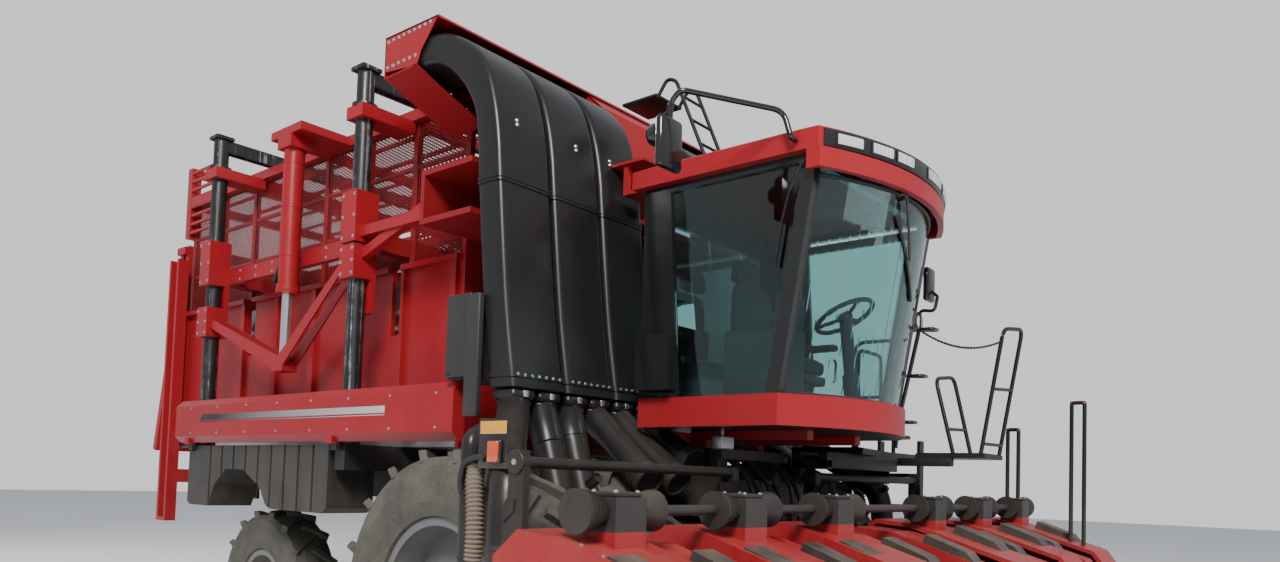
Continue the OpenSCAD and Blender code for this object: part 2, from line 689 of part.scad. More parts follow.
module work_lamps() {
  color("#202022") at_axle() {
    // lamp strip in the visor
    difference() {
      translate([0, 0, roof_z + 5]) linear_extrude(height = 110) bulged_plan(1700, 1858, 246, 905);
      translate([0, 0, roof_z]) linear_extrude(height = 130) bulged_plan(1500, 1840, 240, 930);
    }
    // side arms with a marker lamp, a hanger plate and a reflector plate
    both_sides() {
      box(860, 900, -2110, -rail_y, rail_top, rail_top + 40);
      box(500, 1010, -2110, -2070, rail_top, rail_top + 40);
      box(935, 1010, -2110, -2070, 1300, rail_top + 40);
      box(500, 580, -2130, -2040, 1850, 1960);
      box(120, 280, -duct_y - 14, -duct_y - 8, 2030, 2110);
      box(190, 210, -duct_y - 14, -duct_y - 8, 2030, 2440);
    }
    box(930, 1010, -660, -480, 2010, 2110);
    box(960, 990, -590, -560, 2110, cab_z);
  }
}

// Local frame along the door's rear edge, where its hinges are
module door_edge() {
  translate([806, cab_y + 20, sill_z - 130]) rotate([0, -3.49, 0]) children();
}

module door_frame() {
  color("#141416") at_axle() {
    door_panel();
    door_edge() for (z = [320, 1220]) {
      translate([-3, 0, z]) cylinder(h = 40, r = 9, $fn = 32);
      box(-3, 16, -14, -4, z, z + 40);
      box(10, 60, -16, -8, z, z + 40);
    }
  }
}

module door_panel() {
  difference() {
    slab([[806, sill_z - 130], [cab_front - 76, sill_z - 130], [cab_front - 76, sill_z],
      [cab_front - 76 + (roof_z - 50 - sill_z) * tan(screen_lean) - 8, roof_z - 58],
      [714, roof_z - 58], [806, sill_z]], cab_y - 32, cab_y + 4);
    slab([[870, sill_z - 70], [cab_front - 140, sill_z - 70], [cab_front - 140, sill_z],
      [cab_front - 145 + (roof_z - 110 - sill_z) * tan(screen_lean), roof_z - 118],
      [780, roof_z - 118], [870, sill_z]], cab_y - 60, cab_y + 30);
  }
}

module door_glass() {
  color([0.35, 0.6, 0.55, 0.4]) at_axle()
    slab([[870, sill_z - 70], [cab_front - 140, sill_z - 70], [cab_front - 140, sill_z],
      [cab_front - 145 + (roof_z - 110 - sill_z) * tan(screen_lean), roof_z - 118],
      [780, roof_z - 118], [870, sill_z]], cab_y - 18, cab_y - 18 + glass_t);
}

module ladder() {
  steps = 6;
  width = 420;
  hinge_x = ladder_x - 28;
  color("#1b1b1d") at_axle() difference() {
    union() {
      for (dx = [0, width - 30]) box(ladder_x + dx, ladder_x + dx + 30, ladder_y, ladder_y + 90, 420, deck_z + 140);
      for (i = [0:steps - 1]) box(ladder_x, ladder_x + width, ladder_y, ladder_y + 90, 450 + i * 290, 480 + i * 290);
      // knuckles over and under the deck's lug
      for (z = [deck_z - 90, deck_z + 0.4]) {
        translate([hinge_x, ladder_y + 25, z]) cylinder(h = 39.6, r = 22, $fn = 48);
        box(hinge_x, ladder_x + 10, ladder_y + 10, ladder_y + 42, z, z + 39.6);
      }
    }
    translate([hinge_x, ladder_y + 25, deck_z - 100]) cylinder(h = 160, r = 12.4, $fn = 48);
  }
}

// press
module press_side_shape() {
  // columns: X of the box, its bottom, its top
  boxes = [[-post_front, 3560, 3960], [-post_rear, 3510, 3930], [-post_front, 3280, 3540], [-post_rear, 3020, 3300]];
  difference() {
    union() {
      for (b = boxes) box(b[0] - 100, b[0] + 100, -post_y - 100, -post_y + 100, b[1], b[2]);
      for (x = [-post_front, -post_rear]) box(x - 100, x + 100, -post_y + 60, -post_y + 100, 3020, 3930);
      box(-post_rear, -post_front, -post_y + 100, -post_y + 160, beam_z, beam_z + beam_h);
      // V-shaped truss under the beam, one plate on each side of the rod
      for (s = [-1, 1]) translate([0, s * 58, 0]) {
        slab([[-post_rear + 60, 3200], [-post_rear + 60, 3120], [-2870, 2640], [-2750, 2640],
          [-post_front - 60, 3400], [-post_front - 60, 3480], [-2790, 2760], [-2850, 2760]], -post_y - 8, -post_y + 8);
      }
      slab([[-2900, 2620], [-2900, 2700], [-2720, 2700], [-2720, 2620]], -post_y - 66, -post_y + 66);
      slab([[-post_front + 60, 3420], [-post_front + 60, 3500], [-900, 3750], [-900, 3670]], -post_y - 30, -post_y + 30);
      box(-post_front, -900, -post_y - 50, -post_y + 50, beam_z + 60, beam_z + beam_h);
      // rod up into the cylinder
      translate([-2810, -post_y, 2690]) cylinder(h = 1310, d = 90, $fn = 64);
    }
    for (x = post_xs) translate([x, -post_y, 2500]) cylinder(h = 2000, d = sleeve_d, $fn = 96);
  }
}

module press_sides() {
  color("#a51420") at_axle() both_sides() press_side_shape();
}

module press_frame() {
  color("#8f1a22") at_axle() {
    // open channel across the front, ahead of the chamber
    difference() {
      box(-900, -340, -post_y - 60, post_y + 60, 3560, 3950);
      box(-860, -300, -post_y - 80, post_y + 80, 3600, 3910);
    }
    // arms through the slots, and the frame inside the chamber
    for (x = post_xs) box(x - 60, x + 60, -post_y + 160, post_y - 160, beam_z, beam_z + beam_h);
    for (y = [-1100, 1040]) box(-post_rear, -post_front, y, y + 60, beam_z, beam_z + beam_h);
  }
}

module press_augers() {
  pitch = 2 * 820 / (augers - 1);
  flights = 15;
  color("#8a8c8e") at_axle() for (i = [0:augers - 1]) translate([-5350, -820 + i * pitch, beam_z - 170]) {
    rotate([0, 90, 0]) cylinder(h = 4330, d = 90, $fn = 32);
    for (k = [0:flights - 1]) translate([90 + k * 4150 / (flights - 1), 0, 0]) rotate([0, 78, 0]) cylinder(h = 8, r = 135, $fn = 32);
    for (x = [5350 - post_rear, 5350 - post_front]) box(x - 40, x + 40, -40, 40, 20, 170);
  }
}

// rear ramp
module ramp_panel(x0, x1, z0, z1, half) {
  for (s = [-1, 1]) box(x0, x1, s * half - 40, s * half + 40, z0, z1);
  for (i = [0:6]) {
    z = z0 + i * (z1 - z0 - 60) / 6;
    box(x0, x1, -half, half, z, z + 60);
  }
  box(x1 - 8, x1, -half, half, z0, z1);
}

module ramp_inner() {
  color("#a51420") at_axle() {
    ramp_panel(ramp_x - 40, ramp_x + 40, ramp_z - 40, ramp_top, 1200);
    both_sides() drum_y(ramp_x, ramp_z, 1200, wall_y + 65, 26, 48);
    both_sides() difference() {
      box(ramp_fold_x - 37, ramp_x + 40, 1250, 1285, ramp_top - 100, ramp_top - 20);
      drum_y(ramp_fold_x, ramp_top - 60, 1240, 1300, 26.4, 48);
    }
    both_sides() box(ramp_x - 40, ramp_x + 40, 1230, 1260, ramp_top - 100, ramp_top - 20);
  }
}

module ramp_outer() {
  color("#a51420") at_axle() translate([ramp_fold_x, 0, ramp_top - 60]) rotate([0, ramp_lean, 0]) {
    ramp_panel(-50, 30, -2260, 40, 1200);
    for (s = [-1, 1]) box(-130, -50, s * 1160 - 40, s * 1160 + 40, -2260, -1700);
    both_sides() drum_y(0, 0, 1200, 1283, 26, 48);
  }
}

// header
module toolbar() {
  color("#232325") at_axle() difference() {
    union() {
      box(1120, 1300, -2850, 2850, 900, 1080);
      both_sides() {
        slab([[500, 1230], [500, 1370], [1180, 1180], [1300, 1080], [1300, 880], [1120, 900]], 520, 580);
        drum_y(560, 1300, 516, 584, 90, 64);
      }
      for (y = row_ys) box(1280, unit_x, y + sign(y) * 170 - 50, y + sign(y) * 170 + 50, 900, 1060);
    }
    both_sides() drum_y(560, 1300, 500, 700, 28.4, 48);
  }
}

// One side of a row unit: sheet walls, open towards the plants and in front of the drums
module unit_side(y0, y1, top, open_y0, open_y1) {
  difference() {
    slab([[unit_x, 350], [unit_x, top - 120], [unit_x + 150, top], [unit_x + 420, top - 20],
      [2550, top - 240], [2800, top - 590], [2800, 240], [2700, unit_z], [unit_x + 150, unit_z]], y0, y1);
    slab([[unit_x + 30, 365], [unit_x + 30, top - 135], [unit_x + 162, top - 30], [unit_x + 412, top - 50],
      [2530, top - 266], [2770, top - 605], [2770, 250], [2690, unit_z + 30], [unit_x + 160, unit_z + 30]], open_y0, open_y1);
  }
}

module unit_cabinet() {
  unit_side(throat / 2, 500, unit_top, throat / 2 - 20, 470);
  unit_side(-260, -throat / 2, unit_top - 50, -230, -throat / 2 + 20);
  // pad for the gearbox
  box(1780, 1960, 140, 340, unit_top - 70, unit_top + 5);
  // bridge over the throat, a piece of its own between the two sides
  slab([[unit_x, 1250], [unit_x, unit_top - 170], [unit_x + 150, unit_top - 50], [unit_x + 420, unit_top - 70],
    [unit_x + 700, unit_top - 130], [unit_x + 700, 1250]], -throat / 2 + 0.15, throat / 2 - 0.15);
}

// Units right of the middle are the mirror of those on the left
module turned(y) {
  mirror([0, y < 0 ? 1 : 0, 0]) children();
}

module row_hoods() {
  color("#a51420") at_axle() for (y = row_ys) translate([0, y, 0]) turned(y) unit_cabinet();
}

module row_drums() {
  // columns: X of the drum, bars round it
  drums = [[1860, 10], [2380, 10]];
  color("#77797b") at_axle() for (y = row_ys) translate([0, y, 0]) turned(y) {
    for (d = drums) translate([d[0], 250, 0]) {
      translate([0, 0, unit_z + 30]) cylinder(h = 970, r = 60, $fn = 24);
      for (z = [270, 1100]) translate([0, 0, z]) cylinder(h = 20, r = 185, $fn = 24);
      for (k = [0:d[1] - 1]) rotate([0, 0, k * 360 / d[1]]) translate([160, 0, 280]) cylinder(h = 830, r = 22, $fn = 6);
    }
    // gearbox and shaft guards on top
    box(1780, 1960, 140, 340, unit_top + 5, unit_top + 150);
    for (s = [-1, 1]) translate([1870, 240 + s * 95, unit_top + 90]) rotate([-s * 90, 0, 0]) cylinder(h = 150, r1 = 50, r2 = 80, $fn = 24);
  }
  color("#77797b") at_axle() bar([1870, row_ys[0] - 240, unit_top + 90], [1870, row_ys[rows - 1] + 240, unit_top + 90], 50, 24);
}

module row_dividers() {
  color("#a51420") at_axle() for (y = row_ys) translate([0, y, 0]) turned(y) for (k = [[throat / 2, 500], [-260, -throat / 2]]) {
    hull() {
      box(2800, 2810, k[0], k[1], 260, 760);
      translate([front_reach - 60, (k[0] + k[1]) / 2, 150]) box(0, 60, -20, 20, -40, 0);
      translate([3250, (k[0] + k[1]) / 2, 150]) box(0, 60, -60, 60, -30, 170);
    }
  }
  // hoops on the left end of the header
  color("#19191b") at_axle() {
    tube_run([[2340, 2600, hood_top(2325) + 0.2], [2340, 2600, 2560], [2440, 2600, 2560], [2440, 2600, hood_top(2425) + 0.2]], 30);
    tube_run([[1820, 2600, unit_top + 150.2], [1820, 2600, 2340], [1910, 2600, 2340], [1910, 2600, unit_top + 150.2]], 30);
  }
}

// Height of a hood's sloping top at X
function hood_top(x) = unit_top - 20 - (x - unit_x - 420) * 220 / (2550 - unit_x - 420);

// wheels
module lug_ring(r_out, w, n, ang, inner_r) {
  // each lug runs from the middle of the tread to the shoulder
  reach = w / 2 / cos(ang);
  intersection() {
    union() for (i = [0:n - 1]) rotate([0, 0, i * 360 / n]) for (s = [-1, 1]) rotate([0, 0, s > 0 ? 180 / n : 0])
      rotate([s * ang, 0, 0]) translate([inner_r - 30, -26, s > 0 ? -20 : -reach + 10]) cube([r_out - inner_r + 60, 52, reach + 10]);
    translate([0, 0, -w / 2]) cylinder(h = w, r = r_out, $fn = fn_big);
  }
}

module tyre_y(r, w, rim, h, n) {
  rc = r - h;
  b = w / 2;
  // columns: radius, half width
  edge = [[rim, b * 0.73], [rim + 27, b * 0.73], [rim + 34, b * 0.86], [rim + (rc - rim) * 0.3, b * 0.97],
    [rim + (rc - rim) * 0.6, b], [rim + (rc - rim) * 0.85, b * 0.94], [rc - 12, b * 0.8], [rc, b * 0.4]];
  half = [for (e = edge) [e[0], -e[1]]];
  rotate([90, 0, 0]) union() {
    rotate_extrude($fn = fn_big) polygon(concat(half, [for (i = [len(edge) - 1:-1:0]) edge[i]]));
    lug_ring(r, w * 0.9, n, 38, rc - 20);
  }
}

module rim_y(r, w) {
  b = w / 2 * 0.73;
  rotate([90, 0, 0]) rotate_extrude($fn = fn_big) polygon([[r + 25, -b - 12], [r + 25, -b], [r - 1, -b], [r - 1, b],
    [r + 25, b], [r + 25, b + 12], [r - 25, b + 12], [r - 25, b - 20], [r - 40, 60], [r * 0.45, 30],
    [r * 0.42, 50], [60, 50], [60, 10], [r * 0.42, 10], [r * 0.45, -10], [r - 50, 20], [r - 25, -b + 20], [r - 25, -b - 12]]);
}

module drive_tyres_shape() {
  at_axle() for (y = [inner_wheel_y, outer_wheel_y]) translate([0, y, tyre_r]) rotate([0, 90, 0]) tyre_y(tyre_r, tyre_w, rim_r, lug_h, lugs);
}

module drive_rims_shape() {
  at_axle() {
    for (y = [inner_wheel_y, outer_wheel_y]) translate([0, y, tyre_r]) rim_y(rim_r, tyre_w);
    drum_y(0, tyre_r, 760.4, outer_wheel_y + 60, 190);
    drum_y(0, tyre_r, outer_wheel_y + 60, outer_wheel_y + 130, 120);
    for (k = [0:drive_nuts - 1]) translate([0, outer_wheel_y, tyre_r]) rotate([0, k * 360 / drive_nuts, 0])
      translate([215, 0, 0]) rotate([90, 0, 0]) cylinder(h = 70, r = 16, $fn = 6);
  }
}

module drive_tyres_left() {
  color("#232324") drive_tyres_shape();
}

module drive_tyres_right() {
  color("#232324") mirror([0, 1, 0]) drive_tyres_shape();
}

module drive_rims_left() {
  color("#a51420") drive_rims_shape();
}

module drive_rims_right() {
  color("#a51420") mirror([0, 1, 0]) drive_rims_shape();
}

module knuckle_shape() {
  at_axle() translate([-wheelbase, kingpin_y, steer_r]) {
    translate([0, 0, -89.6]) cylinder(h = 179.2, r = 80, $fn = 48);
    drum_y(0, 0, 60, steer_y - kingpin_y + 30, 55, 48);
    box(-260, -60, -30, 30, -60, -20);
  }
}

module knuckle_left() {
  color("#3a3a3c") knuckle_shape();
}

module knuckle_right() {
  color("#3a3a3c") mirror([0, 1, 0]) knuckle_shape();
}

module steer_tyre_shape() {
  at_axle() translate([-wheelbase, steer_y, steer_r]) rotate([0, 90, 0]) tyre_y(steer_r, steer_w, steer_rim_r, 34, steer_lugs);
}

module steer_rim_shape() {
  at_axle() translate([-wheelbase, steer_y, steer_r]) {
    rim_y(steer_rim_r, steer_w);
    difference() {
      drum_y(0, 0, -50, 120, 110, 48);
      drum_y(0, 0, -60, 40, 55.4, 48);
    }
  }
}

module steer_tyre_left() {
  color("#232324") steer_tyre_shape();
}

module steer_tyre_right() {
  color("#232324") mirror([0, 1, 0]) steer_tyre_shape();
}

module steer_rim_left() {
  color("#a51420") steer_rim_shape();
}

module steer_rim_right() {
  color("#a51420") mirror([0, 1, 0]) steer_rim_shape();
}

frame_rails();
rear_frame();
front_axle();
rear_axle();
engine_block();
air_boxes();
chamber_floor();
lower_walls();
upper_walls();
top_frame();
posts();
press_cylinders();
side_panels();
tanks();
ducts();
duct_pipes();
duct_hood();
cab_base();
cab_frame();
cab_roof();
cab_glass();
cab_interior();
deck();
deck_rails();
mirrors();
work_lamps();
door_frame();
door_glass();
ladder();
press_sides();
press_frame();
press_augers();
ramp_inner();
ramp_outer();
toolbar();
row_hoods();
row_drums();
row_dividers();
drive_tyres_right();
drive_rims_right();
drive_tyres_left();
drive_rims_left();
knuckle_right();
knuckle_left();
steer_tyre_right();
steer_rim_right();
steer_tyre_left();
steer_rim_left();
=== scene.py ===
"""Looks of a six-row cotton harvester: finishes for its CAD pieces, and the finer pieces made here.

Places are metres from the ground under the front axle: X forward, Y the machine's left, Z up.
make_piece moves each finished mesh by axle_x into the part's own frame.
"""
import math

import bmesh
import bpy
import numpy as np
from mathutils import Matrix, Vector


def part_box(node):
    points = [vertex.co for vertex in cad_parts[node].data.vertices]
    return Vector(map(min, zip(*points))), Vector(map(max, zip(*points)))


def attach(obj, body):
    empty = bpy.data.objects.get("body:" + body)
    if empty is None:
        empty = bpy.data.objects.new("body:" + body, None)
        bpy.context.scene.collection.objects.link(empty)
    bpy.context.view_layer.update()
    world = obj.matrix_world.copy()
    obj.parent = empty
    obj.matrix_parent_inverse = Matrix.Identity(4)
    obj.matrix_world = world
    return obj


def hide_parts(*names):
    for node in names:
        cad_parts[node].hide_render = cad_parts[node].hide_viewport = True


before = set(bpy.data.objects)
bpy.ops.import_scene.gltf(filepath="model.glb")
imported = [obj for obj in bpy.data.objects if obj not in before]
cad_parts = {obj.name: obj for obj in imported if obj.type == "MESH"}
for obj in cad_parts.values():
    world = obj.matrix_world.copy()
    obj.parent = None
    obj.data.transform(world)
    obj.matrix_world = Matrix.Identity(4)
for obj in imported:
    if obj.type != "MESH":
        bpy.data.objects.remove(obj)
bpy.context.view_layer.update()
axle_lo, axle_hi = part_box("front_axle")
axle_x = (axle_lo.x + axle_hi.x) / 2
TAU = 2 * math.pi


# Meshes: a part is (points, quads, caps), where caps lists the corner numbers of each flat end

def joined(parts):
    """One part from several, with each one's corner numbers moved up past those before it."""
    points, quads, caps, base = [], [], [], 0
    for p, q, c in parts:
        points.append(p)
        quads.append(q + base)
        caps += [cap + base for cap in c]
        base += len(p)
    return np.vstack(points), np.vstack(quads), caps


def skin(grid, closed=False):
    """Quads between the neighbours of a grid of points, where each row of the grid is one ring. A closed grid
    has its last row joined to its first, and any other has a flat cap on both of them."""
    rows, cols = grid.shape[:2]
    i, j = np.meshgrid(np.arange(rows if closed else rows - 1), np.arange(cols), indexing="ij")
    i2, j2 = (i + 1) % rows, (j + 1) % cols
    quads = np.stack([i * cols + j, i * cols + j2, i2 * cols + j2, i2 * cols + j], -1).reshape(-1, 4)
    ring = np.arange(cols)
    caps = [] if closed else [ring[::-1], ring + (rows - 1) * cols]
    return grid.reshape(-1, 3), quads, caps


def tube(path, radius, sides=12, flat=1.0):
    """A circle carried along the path: each ring lies across the mean of the two directions that meet there,
    and is path + radius * (flat * sin t * rise - cos t * side), with side square to a slanting line."""
    p = np.asarray(path, float)
    slant = np.array([0.23, 0.31, 0.92])
    step = np.diff(p, axis=0)
    step /= np.linalg.norm(step, axis=1, keepdims=True)
    way = np.vstack([step[:1], step[:-1] + step[1:], step[-1:]])
    way /= np.linalg.norm(way, axis=1, keepdims=True)
    side = np.cross(way, slant)
    side /= np.linalg.norm(side, axis=1, keepdims=True)
    rise = np.cross(side, way)
    t = np.linspace(0, TAU, sides, endpoint=False)
    r = np.broadcast_to(np.asarray(radius, float), len(p))[:, None, None]
    ring = -np.cos(t)[None, :, None] * side[:, None] + flat * np.sin(t)[None, :, None] * rise[:, None]
    return skin(p[:, None] + r * ring)


def round_bar(line, outward, upward, radius, sides):
    """A round bar along a closed line: each ring is line + radius * (cos t * outward + sin t * upward)."""
    t = np.linspace(0, TAU, sides, endpoint=False)
    ring = np.cos(t)[None, :, None] * outward[:, None] + np.sin(t)[None, :, None] * upward
    return skin(line[:, None] + radius * ring, closed=True)


def bent(points, radius, steps=6):
    """The path through the points with each corner rounded: the corner becomes the curve
    (1-t)^2 a + 2t(1-t) corner + t^2 b between points a and b a little before and after it."""
    p = np.asarray(points, float)
    if len(p) < 3:
        return p
    before, after = p[:-2] - p[1:-1], p[2:] - p[1:-1]
    lb, la = np.linalg.norm(before, axis=1), np.linalg.norm(after, axis=1)
    cut = np.minimum(radius, 0.45 * np.minimum(lb, la))[:, None]
    a, b = p[1:-1] + before / lb[:, None] * cut, p[1:-1] + after / la[:, None] * cut
    t = np.linspace(0, 1, steps)[None, :, None]
    curve = (1 - t) ** 2 * a[:, None] + 2 * t * (1 - t) * p[1:-1][:, None] + t ** 2 * b[:, None]
    return np.vstack([p[:1], curve.reshape(-1, 3), p[-1:]])


def bent_rod(points, corner, radius, sides=12, steps=6):
    """A round bar through the points, with its corners rounded."""
    return tube(bent(points, corner, steps), radius, sides)


def sagging(start, end, drop, steps):
    """A hanging path between two points: the straight line, less 4t(1-t) times the drop in height."""
    t = np.linspace(0, 1, steps)[:, None]
    a, b = np.asarray(start, float), np.asarray(end, float)
    return a + (b - a) * t - 4 * t * (1 - t) * np.array([0, 0, drop])


def turned(profile, centre, axis, sides=32):
    """A profile of (radius, distance) turned round an axis: centre + distance * axis
    + radius * (cos t * u + sin t * v), with u and v across the axis."""
    a = np.asarray(axis, float) / np.linalg.norm(axis)
    u = np.cross(a, [0.577, 0.211, 0.789])
    u /= np.linalg.norm(u)
    v = np.cross(a, u)
    prof = np.asarray(profile, float)
    t = np.linspace(0, TAU, sides, endpoint=False)
    ring = np.cos(t)[:, None] * u + np.sin(t)[:, None] * v
    grid = np.asarray(centre, float) + prof[:, 1, None, None] * a + prof[:, 0, None, None] * ring[None]
    return skin(grid)


def rounded_outline(half_a, half_b, r, steps=4):
    """A rectangle with round corners: four corner centres plus r * (cos t, sin t), a quarter turn each."""
    t = np.linspace(0, math.pi / 2, steps)
    quarter = np.stack([np.cos(t), np.sin(t)], -1)
    turn = np.array([[0, -1], [1, 0]])
    corners = []
    for k, (sa, sb) in enumerate([(1, 1), (-1, 1), (-1, -1), (1, -1)]):
        arc = quarter @ np.linalg.matrix_power(turn, k).T
        corners.append(np.array([sa * (half_a - r), sb * (half_b - r)]) + r * arc)
    return np.vstack(corners)


def block(lo, hi, r=0.01, steps=3):
    """A box with all edges round: its rounded outline is stacked along Z, drawn in by r(1 - sin t)
    where the height is r(1 - cos t) from either end."""
    lo, hi = np.asarray(lo, float), np.asarray(hi, float)
    mid, half = (lo + hi) / 2, (hi - lo) / 2
    r = min(r, 0.98 * half.min())
    t = np.linspace(0, math.pi / 2, steps)
    inset = r * (1 - np.sin(t))
    rise = r * (1 - np.cos(t))
    insets = np.concatenate([inset, inset[::-1]])
    heights = np.concatenate([-half[2] + rise, half[2] - rise[::-1]])
    rings = []
    for gap, z in zip(insets, heights):
        keep = max(r - gap, 0.0004)
        flat = rounded_outline(half[0] - gap, half[1] - gap, keep)
        rings.append(np.column_stack([flat, np.full(len(flat), z)]))
    return skin(mid + np.stack(rings))


def prism(outline, axis, a, b):
    """A flat outline pushed from a to b along an axis (0, 1 or 2). Its own two numbers are along the other
    axes, in their order."""
    flat = np.asarray(outline, float)
    rest = [k for k in range(3) if k != axis]
    grid = np.zeros((2, len(flat), 3))
    grid[:, :, rest[0]] = flat[:, 0]
    grid[:, :, rest[1]] = flat[:, 1]
    grid[0, :, axis] = a
    grid[1, :, axis] = b
    return skin(grid)


def copies(part, places, turns=None):
    """Copies of a part at each place, each turned by its 3 by 3 matrix where turns are given."""
    points, quads, caps = part
    places = np.asarray(places, float)
    n, m = len(places), len(points)
    if turns is None:
        moved = points[None] + places[:, None]
    else:
        moved = np.einsum("nij,mj->nmi", np.asarray(turns), points) + places[:, None]
    base = np.arange(n)[:, None, None] * m
    return moved.reshape(-1, 3), (quads[None] + base).reshape(-1, 4), [c + k * m for k in range(n)
                                                                       for c in caps]


def mirrored(part):
    """The part and its mirror image across Y = 0, with the image's corner order turned round."""
    points, quads, caps = part
    image = points * np.array([1, -1, 1]), quads[:, ::-1], [c[::-1] for c in caps]
    return joined([part, image])


def both_sides(parts):
    """The parts and their mirror images, as the list of one part that make_piece takes."""
    return [mirrored(joined(parts))]


def bolt(size, axis=(0, -1, 0)):
    """A six-sided head on a round washer, both turned profiles, pointing along the axis."""
    washer = turned([(size * 0.9, -0.002), (size * 0.9, size * 0.12)], (0, 0, 0), axis, 12)
    head_profile = [(0.55, 0.1), (0.58, 0.2), (0.55, 0.55), (0.4, 0.6)]
    head = turned([(size * r, size * h) for r, h in head_profile], (0, 0, 0), axis, 6)
    return joined([washer, head])


def make_piece(name, parts, body, finish, smooth=35, stands_for=()):
    """Puts the joined parts into a mesh in the part's frame, turns every closed shell's faces outwards, and
    lets the piece ride on a body. Edges sharper than smooth degrees stay sharp."""
    points, quads, caps = joined(parts)
    points = points + np.array([axle_x, 0, 0])
    mesh = bpy.data.meshes.new(name)
    sizes = np.concatenate([np.full(len(quads), 4), np.array([len(c) for c in caps], int)]).astype(np.int32)
    corners = np.concatenate([quads.ravel()] + [np.asarray(c) for c in caps]).astype(np.int32)
    mesh.vertices.add(len(points))
    mesh.vertices.foreach_set("co", points.astype(np.float32).ravel())
    mesh.loops.add(len(corners))
    mesh.loops.foreach_set("vertex_index", corners)
    mesh.polygons.add(len(sizes))
    mesh.polygons.foreach_set("loop_start", np.concatenate([[0], np.cumsum(sizes)[:-1]]).astype(np.int32))
    mesh.polygons.foreach_set("loop_total", sizes)
    mesh.update(calc_edges=True)
    mesh.validate()
    shaded = bpy.data.objects.new(name, mesh)
    bpy.context.scene.collection.objects.link(shaded)
    work = bmesh.new()
    work.from_mesh(mesh)
    bmesh.ops.recalc_face_normals(work, faces=work.faces)
    work.to_mesh(mesh)
    work.free()
    mesh.shade_smooth()
    mesh.set_sharp_from_angle(angle=math.radians(smooth))
    mesh.materials.append(finish)
    if stands_for:
        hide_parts(*stands_for)
    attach(shaded, body)
    return shaded


def bolt_piece(name, places, size, axis=(0, -1, 0), body="chassis", both=True):
    """One piece of bright bolts at the places, and at their mirror places where they are on both sides."""
    heads = copies(bolt(size, axis), places)
    return make_piece(name, [mirrored(heads) if both else heads], body, bright)


# Finishes

def add(tree, kind, props=None, **inputs):
    """A shader node with its settings, and its inputs set or linked by name."""
    made = tree.nodes.new("ShaderNode" + kind)
    for key, value in (props or {}).items():
        setattr(made, key, value)
    for key, value in inputs.items():
        socket = made.inputs[key.replace("_", " ")]
        if isinstance(value, bpy.types.NodeSocket):
            tree.links.new(value, socket)
        else:
            socket.default_value = value
    return made


def blended(tree, share, first, second):
    """The colour between two colours or sockets by a share."""
    made = add(tree, "Mix", {"data_type": "RGBA"}, Factor=share)
    for index, value in ((6, first), (7, second)):
        if isinstance(value, bpy.types.NodeSocket):
            tree.links.new(value, made.inputs[index])
        else:
            made.inputs[index].default_value = (*value, 1) if len(value) == 3 else value
    return made.outputs[2]


def ramp(tree, value, low, high, to_low=0.0, to_high=1.0):
    """A value mapped from low..high to to_low..to_high and held at the ends."""
    return add(tree, "MapRange", {"clamp": True}, Value=value, From_Min=low, From_Max=high, To_Min=to_low,
               To_Max=to_high).outputs["Result"]


def math_node(tree, operation, first, second=0.5):
    """One operation on two values or sockets."""
    made = tree.nodes.new("ShaderNodeMath")
    made.operation = operation
    for index, value in enumerate((first, second)):
        if isinstance(value, bpy.types.NodeSocket):
            tree.links.new(value, made.inputs[index])
        else:
            made.inputs[index].default_value = value
    return made.outputs[0]


def plus(tree, first, second):
    """The sum of two values or sockets."""
    return math_node(tree, "ADD", first, second)


def times(tree, first, second):
    """The product of two values or sockets."""
    return math_node(tree, "MULTIPLY", first, second)


def noise(tree, where, scale, detail=4.0, rough=0.55, stretch=None):
    """Noise on object places, stretched along the axes where asked."""
    if stretch:
        where = add(tree, "Mapping", Vector=where, Scale=stretch).outputs[0]
    return add(tree, "TexNoise", Vector=where, Scale=scale, Detail=detail, Roughness=rough).outputs["Fac"]


def feed(tree, shader, **sockets):
    """Links sockets to the shader's inputs, which are named with _ for a space."""
    for key, value in sockets.items():
        tree.links.new(value, shader.inputs[key.replace("_", " ")])


def new_finish(name):
    """An empty node material with its shader, and the object places it reads."""
    made = bpy.data.materials.new(name)
    made.use_nodes = True
    tree = made.node_tree
    shader = tree.nodes["Principled BSDF"]
    where = add(tree, "TexCoord").outputs["Object"]
    return made, tree, shader, where


def bumped(tree, shader, height, strength, distance):
    """Fine relief in the shader's normal."""
    fine = add(tree, "Bump", Strength=strength, Distance=distance, Height=height)
    feed(tree, shader, Normal=fine.outputs[0])


DUST = (0.3, 0.225, 0.155)
BODY_RED = (0.285, 0.0095, 0.0155)
NEAR_BLACK = (0.012, 0.012, 0.013)


